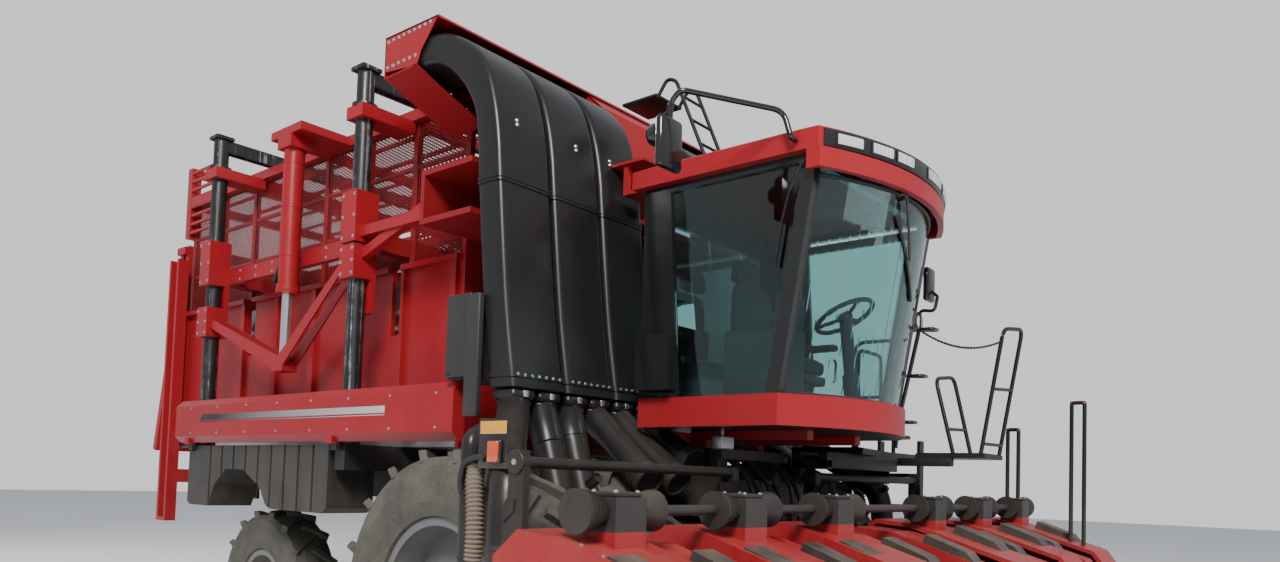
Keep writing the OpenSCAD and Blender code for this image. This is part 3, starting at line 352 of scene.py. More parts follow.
def painted(name, colour, rough=0.3, dust=0.5, dust_top=2.4, coat=0.0, bump=0.04, grain=90.0, under=None):
    """Paint or moulding with uneven tone and fine grain. Dust thickens below dust_top and on faces that look
    up, runs down the sides in streaks, and dulls the gloss. The colour under is painted shade, laid on faces
    that look down."""
    made, tree, shader, where = new_finish(name)
    axes = add(tree, "SeparateXYZ", Vector=where).outputs
    facing = add(tree, "SeparateXYZ", Vector=add(tree, "NewGeometry").outputs["Normal"]).outputs["Z"]
    cloud = noise(tree, where, 1.7, 6.0, 0.6)
    streak = noise(tree, where, 1.0, 4.0, 0.6, (11, 11, 0.9))
    low = ramp(tree, axes["Z"], dust_top, 0.3, 0.0, 1.0)
    up = ramp(tree, facing, 0.55, 0.98, 0.0, 0.7)
    spread = ramp(tree, plus(tree, cloud, times(tree, streak, 0.6)), 0.55, 1.15)
    both = plus(tree, times(tree, low, 0.8), times(tree, up, 0.8))
    amount = math_node(tree, "MINIMUM", times(tree, times(tree, plus(tree, both, 0.07), spread), dust), 0.9)
    tone = 0.12
    pale = tuple(min(1, c * (1 + tone)) for c in colour)
    dark = tuple(c * (1 - tone) for c in colour)
    base = blended(tree, noise(tree, where, 0.9, 5.0), dark, pale)
    # painted shade: faces that look down take the colour under
    if under:
        base = blended(tree, ramp(tree, facing, -0.5, -0.7), base, under)
    colour_out = blended(tree, amount, base, DUST)
    gloss = times(tree, noise(tree, where, 5.0, 5.0), 0.16)
    spoil = times(tree, amount, 0.55)
    dulled = plus(tree, plus(tree, gloss, rough - 0.08), spoil)
    feed(tree, shader, Base_Color=colour_out, Roughness=dulled)
    shader.inputs["Coat Weight"].default_value = coat
    shader.inputs["Coat Roughness"].default_value = 0.08
    shader.inputs["Specular IOR Level"].default_value = 0.3
    bumped(tree, shader, noise(tree, where, grain, 3.0), bump, 0.004)
    return made


def worn_post(name):
    """Black paint on a post, rubbed to bright steel in long upright strips where the press sleeves run."""
    made, tree, shader, where = new_finish(name)
    strips = noise(tree, where, 1.0, 3.0, 0.7, (34, 34, 0.35))
    scuffs = noise(tree, where, 7.0, 8.0, 0.7)
    bare = ramp(tree, plus(tree, strips, times(tree, scuffs, 0.35)), 0.77, 0.84)
    feed(tree, shader, Base_Color=blended(tree, bare, NEAR_BLACK, (0.42, 0.43, 0.45)),
         Metallic=times(tree, bare, 0.9), Roughness=ramp(tree, scuffs, 0.3, 0.7, 0.26, 0.5))
    bumped(tree, shader, strips, 0.15, 0.003)
    return made


def steel(name, colour=(0.5, 0.5, 0.51), rough=0.32, dust=0.35):
    """Worked steel: fine scratches, patches of tone and a film of dust."""
    made, tree, shader, where = new_finish(name)
    patch = noise(tree, where, 6.0, 6.0, 0.65)
    lines = noise(tree, where, 1.0, 3.0, 0.6, (6, 160, 160))
    film = times(tree, ramp(tree, patch, 0.4, 0.7), dust)
    feed(tree, shader, Base_Color=blended(tree, film, colour, (0.2, 0.16, 0.125)),
         Metallic=math_node(tree, "SUBTRACT", 0.95, film),
         Roughness=plus(tree, times(tree, lines, 0.25), rough - 0.1))
    bumped(tree, shader, lines, 0.1, 0.002)
    return made


def tyre_rubber(name):
    """Rubber under field dust: clods of pale dust over the dark rubber, with fine pitting."""
    made, tree, shader, where = new_finish(name)
    cake = noise(tree, where, 3.2, 8.0, 0.68)
    pits = noise(tree, where, 60.0, 5.0, 0.6)
    cover = ramp(tree, plus(tree, cake, times(tree, pits, 0.4)), 0.48, 0.86, 0.12, 0.86)
    tone = blended(tree, pits, (0.088, 0.082, 0.064), (0.138, 0.127, 0.1))
    feed(tree, shader, Base_Color=blended(tree, cover, (0.02, 0.02, 0.021), tone),
         Roughness=ramp(tree, cover, 0.0, 1.0, 0.55, 0.92))
    bumped(tree, shader, pits, 0.35, 0.006)
    return made


def tinted_glass(name):
    """Green-blue tinted glass with a faint film that breaks up its gloss."""
    made, tree, shader, where = new_finish(name)
    film = noise(tree, where, 2.2, 5.0, 0.6, (1, 1, 0.4))
    tint, pale = (0.4, 0.66, 0.66), (0.62, 0.7, 0.66)
    colour = blended(tree, ramp(tree, film, 0.35, 0.75, 0.0, 0.3), tint, pale)
    feed(tree, shader, Base_Color=colour, Roughness=ramp(tree, film, 0.4, 0.8, 0.0, 0.06))
    shader.inputs["Transmission Weight"].default_value = 1.0
    shader.inputs["IOR"].default_value = 1.45
    return made


def lens(name, colour):
    """A ribbed lamp lens: fine upright flutes in the normal and in the colour, under clear plastic."""
    made, tree, shader, where = new_finish(name)
    flutes = add(tree, "TexWave", {"wave_type": "BANDS", "bands_direction": "X"}, Vector=where, Scale=32.0,
                 Distortion=0.3)
    deep = tuple(c * 0.72 for c in colour)
    feed(tree, shader, Base_Color=blended(tree, flutes.outputs["Fac"], deep, colour),
         Roughness=ramp(tree, noise(tree, where, 14.0), 0.3, 0.7, 0.12, 0.24))
    shader.inputs["Coat Weight"].default_value = 0.8
    bumped(tree, shader, flutes.outputs["Fac"], 0.25, 0.004)
    return made


red = painted("red paint", BODY_RED, rough=0.36, dust=0.3, coat=0.04)
# the body red darkened for the chamber's walls and press frame: painted shade, not another paint
chamber_red_with_painted_shade = painted("red paint darkened as painted shade in the chamber", (0.2, 0.007, 0.01), rough=0.42, dust=0.35)
rim_grey = painted("rim paint", (0.115, 0.122, 0.13), rough=0.38, dust=0.7, coat=0.1, dust_top=1.6)
frame_black = painted("chassis black", (0.016, 0.016, 0.017), rough=0.42, dust=0.3)
# the body red, with painted shade in near black on its faces that look down
red_with_painted_shade_below = painted("red paint, painted shade beneath", BODY_RED, rough=0.36, dust=0.3, coat=0.04,
                   under=(0.01, 0.01, 0.011))
drum_grey = painted("picker drum grey", (0.024, 0.024, 0.026), rough=0.45, dust=0.25, bump=0.15, grain=120.0)
casting = painted("grey casting", (0.07, 0.07, 0.073), rough=0.55, dust=0.7, bump=0.2, grain=120.0)
moulding = painted("black moulding", (0.026, 0.026, 0.027), rough=0.42, dust=0.55, bump=0.12, grain=260.0)
duct_black = painted("duct black", NEAR_BLACK, rough=0.3, dust=0.14, bump=0.05, grain=40.0, dust_top=3.0)
cab_black = painted("cab gloss black", (0.01, 0.01, 0.011), rough=0.16, dust=0.18, coat=0.6)
rail_black = painted("rail black", NEAR_BLACK, rough=0.3, dust=0.3)
lamp_black = painted("lamp housing black", NEAR_BLACK, rough=0.22, dust=0.2, coat=0.4)
divider_red = painted("divider moulding", (0.27, 0.01, 0.016), rough=0.42, dust=0.55, bump=0.1, grain=200.0)
cab_trim = painted("cab trim", (0.045, 0.047, 0.052), rough=0.6, dust=0.05, bump=0.25, grain=320.0)
post_finish = worn_post("post paint worn to steel")
bright_steel = steel("working steel")
rod_chrome = steel("lift rod", (0.72, 0.72, 0.74), 0.14, 0.1)
tyre_finish = tyre_rubber("dusty tyre rubber")
cab_glass_finish = tinted_glass("tinted cab glass")

node_finishes = {
    red: ["rear_frame", "lower_walls", "top_frame", "press_cylinders", "side_panels", "duct_hood", "cab_roof",
          "press_sides", "ramp_inner", "ramp_outer", "row_hoods"],
    red_with_painted_shade_below: ["cab_base"],
    drum_grey: ["row_drums"],
    # upper walls and press frame take the darkened red, which is painted shade
    chamber_red_with_painted_shade: ["upper_walls", "press_frame"],
    rim_grey: ["drive_rims_right", "drive_rims_left", "steer_rim_right", "steer_rim_left"],
    frame_black: ["frame_rails", "front_axle", "rear_axle", "deck", "ladder", "toolbar"],
    casting: ["engine_block", "knuckle_right", "knuckle_left"],
    moulding: ["air_boxes", "tanks", "mirrors"],
    duct_black: ["ducts", "duct_pipes"],
    cab_black: ["cab_frame", "door_frame"],
    rail_black: ["deck_rails"],
    lamp_black: ["work_lamps"],
    divider_red: ["row_dividers"],
    cab_trim: ["cab_interior"],
    post_finish: ["posts"],
    bright_steel: ["chamber_floor", "press_augers"],
    tyre_finish: ["drive_tyres_right", "drive_tyres_left", "steer_tyre_right", "steer_tyre_left"],
    cab_glass_finish: ["cab_glass", "door_glass"],
}
for finish, nodes in node_finishes.items():
    for node in nodes:
        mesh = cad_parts[node].data
        mesh.materials.clear()
        mesh.materials.append(finish)


# Paths and profiles that several pieces share

def flowing(points, n):
    """A smooth path of n places through the points: between two of them it is the cubic whose slope at a
    point is half the step from the point before it to the point after it."""
    p = np.asarray(points, float)
    wide = np.vstack([2 * p[0] - p[1], p, 2 * p[-1] - p[-2]])
    s = np.linspace(0, len(p) - 1, n)
    i = np.minimum(s.astype(int), len(p) - 2)
    t = (s - i)[:, None]
    a, b, c, d = wide[i], wide[i + 1], wide[i + 2], wide[i + 3]
    return 0.5 * (2 * b + (c - a) * t + (2 * a - 5 * b + 4 * c - d) * t ** 2
                  + (3 * b - a - 3 * c + d) * t ** 3)


def strands(starts, ends, half_wide, half_deep):
    """Thin straight bars from starts to ends in an XZ plane: each is a rectangle carried from one end to the
    other, half_wide across the bar in the plane and half_deep along Y."""
    a, b = np.asarray(starts, float), np.asarray(ends, float)
    way = (b - a) / np.linalg.norm(b - a, axis=1, keepdims=True)
    across = np.stack([-way[:, 2], np.zeros(len(a)), way[:, 0]], -1)
    signs = np.array([(1, 1), (-1, 1), (-1, -1), (1, -1)], float)
    ring = signs[None, :, :1] * half_wide * across[:, None] + signs[None, :, 1:] * np.array([0, half_deep, 0])
    points = np.stack([a[:, None] + ring, b[:, None] + ring], 1)
    face = np.array([[0, 1, 5, 4], [1, 2, 6, 5], [2, 3, 7, 6], [3, 0, 4, 7]])
    quads = (face[None] + 8 * np.arange(len(a))[:, None, None]).reshape(-1, 4)
    return points.reshape(-1, 3), quads, []


def lattice(x0, x1, z0, z1, y):
    """Expanded metal between x0, x1, z0 and z1: bars x = c + slope * (z - z0) and their mirror images, one
    pitch apart, each cut off where it meets the sides."""
    parts = []
    pitch, slope, half_wide, half_deep = 0.05, 1.9, 0.0055, 0.0015
    for k in (slope, -slope):
        c = np.arange(min(x0, x0 - k * (z1 - z0)), max(x1, x1 - k * (z1 - z0)), pitch)
        ends = np.sort(np.stack([z0 + (x0 - c) / k, z0 + (x1 - c) / k], -1), axis=1)
        low, high = np.maximum(ends[:, 0], z0), np.minimum(ends[:, 1], z1)
        kept = high - low > 0.01
        c, low, high = c[kept], low[kept], high[kept]
        flat = np.full(len(c), y)
        starts = np.stack([c + k * (low - z0), flat, low], -1)
        ends = np.stack([c + k * (high - z0), flat, high], -1)
        parts.append(strands(starts, ends, half_wide, half_deep))
    return joined(parts)


def hose(points, places, radius, sides):
    """A round hose along the smooth path through the points."""
    return tube(flowing(points, places), radius, sides)


def rod(a, b, radius, sides=16):
    """A straight round bar between two points."""
    return tube([a, b], radius, sides)


def ribbed(path, radius, rib, pitch, sides=18):
    """A ribbed hose: a tube of radius + rib * (1 - cos(turns)) / 2, with one turn for each pitch."""
    p = np.asarray(path, float)
    length = np.concatenate([[0], np.cumsum(np.linalg.norm(np.diff(p, axis=0), axis=1))])
    fine = np.linspace(0, length[-1], int(length[-1] / pitch * 6) + 2)
    places = np.stack([np.interp(fine, length, p[:, k]) for k in range(3)], -1)
    return tube(places, radius + rib * (1 - np.cos(TAU * fine / pitch)) / 2, sides)


rubber = painted("black rubber", (0.017, 0.017, 0.018), rough=0.45, dust=0.3, bump=0.15, grain=150.0)
dusty_rubber = painted("dusty rubber", (0.16, 0.13, 0.1), rough=0.8, dust=0.6, bump=0.2, grain=150.0)
seam_black = painted("seam shadow black", (0.006, 0.006, 0.006), rough=0.6, dust=0.15)
bright = steel("bright fastener", (0.62, 0.62, 0.64), 0.22, 0.2)
galvanised = steel("grey pipe steel", (0.3, 0.31, 0.34), 0.42, 0.4)
orange_lens = lens("orange lens", (0.62, 0.075, 0.01))
yellow_lens = lens("yellow reflector", (0.72, 0.36, 0.02))
clear_lens = lens("clear lens", (0.62, 0.64, 0.66))
mirror_glass = steel("mirror face", (0.78, 0.8, 0.82), 0.1, 0.03)

# Ducts: six mouldings with round corners that rise in front of the chamber and bend back over it

duct_width, duct_pitch, duct_edge = 0.45, 0.48, -1.85
# columns: X and Z of the front face, X and Z of the rear face, from the foot to the outlet
duct_stations = [(0.3, 2.34, 0.07, 2.34), (0.2, 2.9, -0.03, 2.9), (0.105, 3.68, -0.125, 3.67),
                 (0.07, 3.97, -0.15, 3.95), (0.012, 4.23, -0.195, 4.18), (-0.08, 4.46, -0.295, 4.35),
                 (-0.23, 4.63, -0.405, 4.47), (-0.4, 4.745, -0.52, 4.56), (-0.56, 4.815, -0.64, 4.62),
                 (-0.76, 4.85, -0.79, 4.645), (-0.915, 4.86, -0.915, 4.65)]
duct_corner = 0.045


def duct_rings(stations, y0, grow=0.0):
    """Rings of rounded rectangles across the stations, each from the rear point to the front point and one
    duct wide, made wider by grow on every side while the corners keep their radius."""
    st = np.asarray(stations, float)
    front, rear = st[:, :2], st[:, 2:]
    grow = np.broadcast_to(np.asarray(grow, float), len(st))[:, None]
    reach = np.linalg.norm(front - rear, axis=1, keepdims=True)
    way, mid, half = (front - rear) / reach, (front + rear) / 2, reach / 2
    corner = rounded_outline(duct_corner, duct_width / 2, duct_corner, 6)
    sign = np.repeat([1, -1, -1, 1], 6)
    along = corner[:, 0] + sign * (half + grow - duct_corner)
    y = y0 + duct_width / 2 + corner[:, 1] + np.sign(corner[:, 1]) * grow
    return skin(np.stack([mid[:, :1] + along * way[:, :1], y, mid[:, 1:] + along * way[:, 1:]], -1))


def duct_at(z):
    """The duct's four edge places at a height below its bend."""
    st = np.asarray(duct_stations)
    return np.interp(z, st[:4, 1], st[:4, 0]), z, np.interp(z, st[:4, 3], st[:4, 2]), z


def duct_band(y0, low, high, out):
    """A raised band round a duct between two heights."""
    return duct_rings([duct_at(low), duct_at(low), duct_at(high), duct_at(high)], y0, [0, out, out, 0])


duct_y0s = [duct_edge + i * duct_pitch for i in range(3)]
smooth_stations = flowing(duct_stations, 80)
duct_skins = [duct_rings(smooth_stations, y0) for y0 in duct_y0s]
make_piece("duct_skins", both_sides(duct_skins), "chassis", duct_black, stands_for=["ducts"])
# the foot and the height of each flange
flange_spans = [(2.345, 0.05), (2.405, 0.035), (3.662, 0.016), (3.686, 0.016)]
duct_flanges = [duct_band(y0, z, z + h, 0.007) for y0 in duct_y0s for z, h in flange_spans]
make_piece("duct_flanges", both_sides(duct_flanges), "chassis", duct_black)
duct_seams = [duct_band(y0, 3.678, 3.686, 0.004) for y0 in duct_y0s]
make_piece("duct_seams", both_sides(duct_seams), "chassis", seam_black)
screw_z = 2.422
duct_screws = [(duct_at(screw_z)[0] + 0.008, y0 + 0.045 + k * 0.06, screw_z) for y0 in duct_y0s
               for k in range(7)]
latch_x = duct_at(3.95)[0] - 0.022
duct_latches = [(latch_x + dx, y, z) for y in (-1.678, -1.128, -0.773)
                for dx, z in ((0.002, 4.075), (-0.004, 4.105))]
latch = turned([(0.013, -0.01), (0.014, 0.004), (0.01, 0.01), (0.004, 0.013)], (0, 0, 0), (1, 0, 0.2), 14)
duct_fasteners = [copies(bolt(0.013, (1, 0, 0.12)), duct_screws), copies(latch, duct_latches)]
make_piece("duct_fasteners", both_sides(duct_fasteners), "chassis", bright)

# Suction pipes, fanned out from two square collars under each duct so that they pass the tyres

pipe_radius, collar_x = 0.1, 0.188
pipe_starts = [duct_edge + k * duct_pitch + duct_width * share for k in range(3) for share in (0.25, 0.75)]
# the points of each pipe below its collar, from the outermost pipe inwards
pipe_routes = [[(0.457, -2.0, 2.02), (0.75, -2.262, 1.78), (0.79, -2.3, 1.6), (0.8, -2.31, 1.35)],
               [(0.3, -1.55, 2.05), (0.45, -1.555, 1.62)],
               [(0.3, -1.335, 2.09), (0.45, -1.34, 1.64)],
               [(0.45, -1.04, 2.02), (0.78, -1.1, 1.79)],
               [(0.45, -0.79, 2.02), (0.78, -0.8, 1.79)],
               [(0.45, -0.575, 2.07), (0.74, -0.59, 1.93)]]
ring_profile = [(0.09, -0.012), (0.109, -0.01), (0.112, 0.0), (0.109, 0.01), (0.09, 0.012)]
cuff_profile = [(0.095, -0.075), (0.105, -0.072), (0.108, -0.05), (0.103, -0.045), (0.103, -0.02),
                (0.108, -0.015), (0.108, 0.012), (0.092, 0.014), (0.09, -0.06)]
pipes, collars, cuffs, collar_latches = [], [], [], []
for y, route in zip(pipe_starts, pipe_routes):
    top = [(collar_x, y, 2.3), (collar_x + 0.004, y, 2.235)]
    path = flowing(bent(top + route, 0.12), 60)
    pipes.append(tube(path, pipe_radius, 32))
    collars.append(block((collar_x - 0.108, y - 0.105, 2.262), (collar_x + 0.108, y + 0.105, 2.342), 0.05))
    collars.append(turned(ring_profile, (collar_x, y, 2.25), (0, 0, 1), 32))
    way = path[-1] - path[-3]
    cuffs.append(turned(cuff_profile, path[-1], way / np.linalg.norm(way), 32))
    low, high = (collar_x + 0.104, y - 0.02, 2.285), (collar_x + 0.114, y + 0.02, 2.325)
    collar_latches.append(block(low, high, 0.004))
make_piece("suction_pipes", both_sides(pipes + collars), "chassis", duct_black,
           stands_for=["duct_pipes"])
make_piece("pipe_cuffs", both_sides(cuffs), "chassis", rubber)
make_piece("collar_latches", both_sides(collar_latches), "chassis", bright)

# Hood of sheet steel over the duct outlets

hood_rear, hood_half = -1.19, 1.872
hood_side = [(hood_rear, 4.69), (hood_rear, 4.945), (-0.575, 4.93), (-0.76, 4.73), (-0.8, 4.64)]
hood_top_sheet = [(hood_rear, 4.934), (hood_rear, 4.946), (-0.572, 4.931), (-0.508, 4.882), (-0.513, 4.874),
                  (-0.577, 4.919)]
hood_rear_sheet = [(hood_rear, 4.75), (hood_rear, 4.94), (hood_rear + 0.008, 4.94), (hood_rear + 0.008, 4.75)]
hood_parts = [prism(hood_side, 1, -hood_half, -hood_half + 0.006),
              prism(hood_side, 1, hood_half - 0.006, hood_half),
              prism(hood_top_sheet, 1, -hood_half, hood_half),
              prism(hood_rear_sheet, 1, -hood_half, hood_half)]
hood_slope = [(-hood_half, 4.65), (-hood_half, 4.642), (-1.24, 4.41), (-1.24, 4.418)]
hood_back = [(-hood_half, 4.648), (-1.29, 4.43), (-1.29, 4.76), (-hood_half, 4.76)]
hood_parts += both_sides([prism(hood_slope, 0, hood_rear, -0.8),
                          prism(hood_back, 0, hood_rear, hood_rear + 0.008)])
cover_profile = [(-0.915, 4.085), (-0.915, 4.919), (-0.577, 4.919), (-0.385, 4.745), (-0.305, 4.085)]
cover_inside = [(-0.305, 4.085), (-0.313, 4.085), (-0.392, 4.741), (-0.581, 4.911), (-0.915, 4.911),
                (-0.915, 4.919), (-0.577, 4.919), (-0.385, 4.745)]
hood_parts.append(prism(cover_inside, 1, -0.424, 0.424))
hood_parts += [prism(cover_profile, 1, y, y + 0.008) for y in (-0.424, 0.416)]
make_piece("hood_sheets", hood_parts, "chassis", red, stands_for=["duct_hood"])
hood_bolts = [(x, -hood_half, 4.905) for x in np.linspace(-1.15, -0.66, 9)]
hood_bolts += [(x, -hood_half, 4.715) for x in np.linspace(-1.15, -0.82, 6)]
bolt_piece("hood_bolts", hood_bolts, 0.016)

# Chamber's upper walls: ribs and rails with expanded metal between them, open where the press arms run

wall_face, wall_rear, wall_front = -1.234, -5.7, -0.96
rib_step = (wall_front - wall_rear - 0.06) / 7
# the spans of the walls' foot rail, which is open where the press arms run
wall_spans = [(wall_rear, -4.29), (-4.11, -1.85), (-1.67, wall_front)]
outer_y, inner_y = wall_face - 0.006, wall_face + 0.04
wall_parts = [block((a, outer_y, 3.38), (b, inner_y, 3.44), 0.003) for a, b in wall_spans]
for i in range(8):
    x = wall_rear + 0.03 + i * rib_step
    wall_parts.append(block((x - 0.03, outer_y, 3.44), (x + 0.03, inner_y, 4.64), 0.003))
for z in (3.84, 4.26):
    wall_parts.append(block((wall_rear, wall_face, z), (wall_front, wall_face + 0.03, z + 0.03), 0.003))
mesh_y = wall_face + 0.003
wall_parts += [lattice(rear, front, 3.44, 3.85, mesh_y) for rear, front in wall_spans]
wall_parts.append(lattice(wall_rear, wall_front, 3.86, 4.64, mesh_y))
# the walls' ribs and mesh take the darkened red, which is painted shade
make_piece("chamber_mesh_walls", both_sides(wall_parts), "chassis", chamber_red_with_painted_shade,
           stands_for=["upper_walls"])

# Stripe along the side panels, black at the rear and silver at the front

stripe_finish, stripe_tree, stripe_shader, stripe_where = new_finish("panel stripe")
stripe_axes = add(stripe_tree, "SeparateXYZ", Vector=stripe_where).outputs
stripe_along = ramp(stripe_tree, stripe_axes["X"], axle_x - 3.6, axle_x - 1.1)
stripe_wear = noise(stripe_tree, stripe_where, 30.0, 6.0, 0.7)
stripe_colour = blended(stripe_tree, stripe_along, NEAR_BLACK, (0.42, 0.42, 0.43))
stripe_worn = ramp(stripe_tree, stripe_wear, 0.62, 0.7, 0.0, 0.5)
stripe_shown = blended(stripe_tree, stripe_worn, stripe_colour, (0.3, 0.02, 0.02))
feed(stripe_tree, stripe_shader, Base_Color=stripe_shown,
     Roughness=ramp(stripe_tree, stripe_wear, 0.3, 0.7, 0.28, 0.42))
panel_face = -1.8508
stripe_outlines = [[(-3.92, 2.214), (-3.86, 2.266), (-1.03, 2.262), (-1.03, 2.212)],
                   [(-3.94, 2.197), (-3.93, 2.203), (-1.03, 2.201), (-1.03, 2.195)]]
stripes = [prism(outline, 1, panel_face - 0.0008, panel_face + 0.0008) for outline in stripe_outlines]
make_piece("panel_stripes", both_sides(stripes), "chassis", stripe_finish)
panel_bolts = [(x, -1.85, z) for x in np.linspace(-4.1, -0.45, 8) for z in (2.1, 2.33)]
bolt_piece("panel_bolts", panel_bolts, 0.012)

# Press: chrome rods, bolts in the sleeves and hoses to the cylinders

post_y, post_xs, lift_x = -1.66, (-1.76, -4.2), -2.81


def on_lift(profile):
    """A profile turned round the upright line of the press cylinder, with its distances as heights."""
    return turned(profile, (lift_x, post_y, 0), (0, 0, 1), 40)


press_rod = on_lift([(0.02, 2.71), (0.0454, 2.712), (0.0454, 3.99), (0.02, 3.992)])
make_piece("press_rods", [mirrored(press_rod)], "press", rod_chrome)
# X, foot and height of each sleeve
sleeves = [(-1.76, 3.56, 0.4), (-4.2, 3.51, 0.42), (-1.76, 3.28, 0.26), (-4.2, 3.02, 0.28)]
sleeve_bolts = [(x + dx, post_y - 0.1, z + dz) for x, z, h in sleeves for dx in (-0.075, 0.075)
                for dz in (0.035, h / 2, h - 0.035)]
bolt_piece("sleeve_bolts", sleeve_bolts, 0.016, body="press")
beam_bolts = [(x, post_y + 0.1, z) for x in np.linspace(-3.9, -2.1, 7) for z in (3.57, 3.65)
              if abs(x - lift_x) > 0.15]
bolt_piece("beam_bolts", beam_bolts, 0.014, body="press")
gland_profile = [(0.0465, 3.286), (0.097, 3.288), (0.1, 3.3), (0.1, 3.318), (0.0965, 3.322), (0.096, 3.362),
                 (0.086, 3.366)]
bands = [on_lift(gland_profile)]
for z in (3.6, 4.02, 4.4):
    bands.append(on_lift([(0.084, z), (0.0885, z + 0.002), (0.0885, z + 0.016), (0.084, z + 0.018)]))
make_piece("cylinder_bands", both_sides(bands), "chassis", red)
# places of the hose as steps from the cylinder's line
hose_steps = [(-0.05, -0.09, 3.34), (-0.088, -0.06, 3.42), (-0.1, -0.02, 3.6), (-0.098, -0.01, 4.2),
              (-0.08, -0.01, 4.44), (-0.03, -0.02, 4.6)]
lift_hose = flowing([(lift_x + dx, post_y + dy, z) for dx, dy, z in hose_steps], 60)
lift_hoses = [tube(lift_hose + np.array(shift), 0.009, 12) for shift in ((0, 0, 0), (0.012, -0.018, 0.03))]
make_piece("cylinder_hoses", both_sides(lift_hoses), "chassis", rubber)
cap_bolts = [(x + dx, post_y + dy, 4.96) for x in post_xs for dx in (-0.06, 0.06) for dy in (-0.06, 0.06)]
bolt_piece("post_cap_bolts", cap_bolts, 0.018, (0, 0, 1))

# Cab: visor lamps, wipers, seat, wheel, console, door handle and antenna

def screen_x(y, z):
    """The windscreen's outer face: it leans forward by 0.16376 for each metre of height and bulges as
    1 - (y / 0.81)^2."""
    return 1.558 + (z - 2.345) * 0.16376 + 0.25 * (1 - (y / 0.81) ** 2)


def visor_band(out, low, high, y_lo=-0.9, y_hi=0.9, steps=41, depth=0.03):
    """A band with round edges along the visor's bulge, x = 1.846 + 0.246 (1 - (y / 0.905)^2) + out."""
    y = np.linspace(y_lo, y_hi, steps)
    x = 1.846 + 0.246 * (1 - (y / 0.905) ** 2) + out
    flat = np.array([(-depth, low), (-0.012, low), (-0.003, low + 0.004), (0, low + 0.014), (0, high - 0.014),
                     (-0.003, high - 0.004), (-0.012, high), (-depth, high)])
    grid = np.stack([x[:, None] + flat[None, :, 0], np.broadcast_to(y[:, None], (steps, len(flat))),
                     np.broadcast_to(flat[None, :, 1], (steps, len(flat)))], -1)
    return skin(grid)


# the two ends of each lamp across the visor
lamp_spans = [(-0.82, -0.65), (-0.57, -0.4), (-0.35, -0.18), (0.04, 0.31), (0.4, 0.57), (0.65, 0.82)]
make_piece("visor_strip", [visor_band(0.014, 3.785, 3.895)], "chassis", lamp_black)
bezels = [visor_band(0.02, 3.796, 3.884, a - 0.013, b + 0.013, 9, 0.02) for a, b in lamp_spans]
make_piece("visor_bezels", bezels, "chassis", lamp_black)
lenses = [visor_band(0.0235, 3.806, 3.874, a, b, 9, 0.02) for a, b in lamp_spans]
make_piece("visor_lenses", lenses, "chassis", clear_lens)


def on_screen(points, out):
    """Points (y, z) laid on the windscreen and pushed out from it."""
    return [(screen_x(y, z) + out, y, z) for y, z in points]


arm_line = on_screen([(-0.16, 3.66), (-0.13, 3.6), (-0.04, 3.42), (0.03, 3.28)], 0.035)
wiper_arm = hose(arm_line, 20, 0.009, 10)
blade_line = on_screen([(-0.2 + 0.44 * t, 3.52 - 0.46 * t) for t in np.linspace(0, 1, 15)], 0.012)
wiper_blade = tube(blade_line, 0.01, 8, flat=1.4)
hub_profile = [(0.035, -0.03), (0.038, 0.0), (0.034, 0.03), (0.015, 0.042)]
wiper_hub = turned(hub_profile, (screen_x(-0.16, 3.66), -0.16, 3.66), (1, 0, 0.1), 20)
make_piece("wiper", [wiper_arm, wiper_blade, wiper_hub], "chassis", cab_black)
# wiper on the right side glass, hung from its upper front corner
side_arm = hose([(1.705, -0.884, 3.72), (1.629, -0.888, 3.566), (1.569, -0.888, 3.35)], 16, 0.007, 10)
side_line = flowing([(1.574, -0.884, 3.37), (1.556, -0.884, 3.25), (1.534, -0.884, 3.116)], 12)
side_blade = tube(side_line, 0.01, 8, flat=1.4)
side_hub_profile = [(0.022, -0.012), (0.024, 0.0), (0.02, 0.012), (0.006, 0.016)]
side_hub = turned(side_hub_profile, (1.705, -0.88, 3.72), (0, -1, 0), 20)
make_piece("side_wiper", [side_arm, side_blade, side_hub], "chassis", cab_black)
seal_ys = np.linspace(-0.8, 0.8, 33)
seal_lines = [[(y, z) for y in seal_ys] for z in (2.352, 3.655)]
seal_lines += [[(side * 0.805, z) for z in np.linspace(2.35, 3.66, 12)] for side in (-1, 1)]
seals = [tube(on_screen(line, 0.004), 0.011, 8) for line in seal_lines]
make_piece("screen_seals", seals, "chassis", rubber)


def signed_power(value, power):
    """The power of the value's size, with the value's sign."""
    return np.sign(value) * np.abs(value) ** power


def cushion(centre, half, lean=0.0, crown=0.02, channels=3):
    """A padded form: x, y, z = half * the signed powers of a sphere's sines and cosines, crowned on both wide
    faces by crown * (1 - a^2)(1 - b^2), with sewn channels that sink it by a narrow dip. It leans about Y."""
    heights = np.linspace(-math.pi / 2, math.pi / 2, 41)
    rounds = np.linspace(0, TAU, 72, endpoint=False)
    u, v = np.meshgrid(heights, rounds, indexing="ij")
    a = signed_power(np.cos(u), 0.35) * signed_power(np.cos(v), 0.35)
    b = signed_power(np.cos(u), 0.35) * signed_power(np.sin(v), 0.35)
    c = signed_power(np.sin(u), 0.6)
    dips = np.exp(-((np.mod((a + 1) / 2 * channels, 1) - 0.5) / 0.1) ** 2) * (np.abs(b) < 0.75)
    rise = np.sign(c) * np.abs(c) ** 2 * (crown * (1 - a ** 2) * (1 - b ** 2) - 0.01 * dips)
    pull = 1 - 0.04 * (1 - c ** 2) * (1 - np.maximum(a ** 2, b ** 2)) ** 0.5
    p = np.stack([a * half[0] * pull, b * half[1] * pull, c * half[2] + rise], -1)
    turn = np.array([[math.cos(lean), 0, math.sin(lean)], [0, 1, 0], [-math.sin(lean), 0, math.cos(lean)]])
    return skin(p @ turn.T + np.asarray(centre, float))


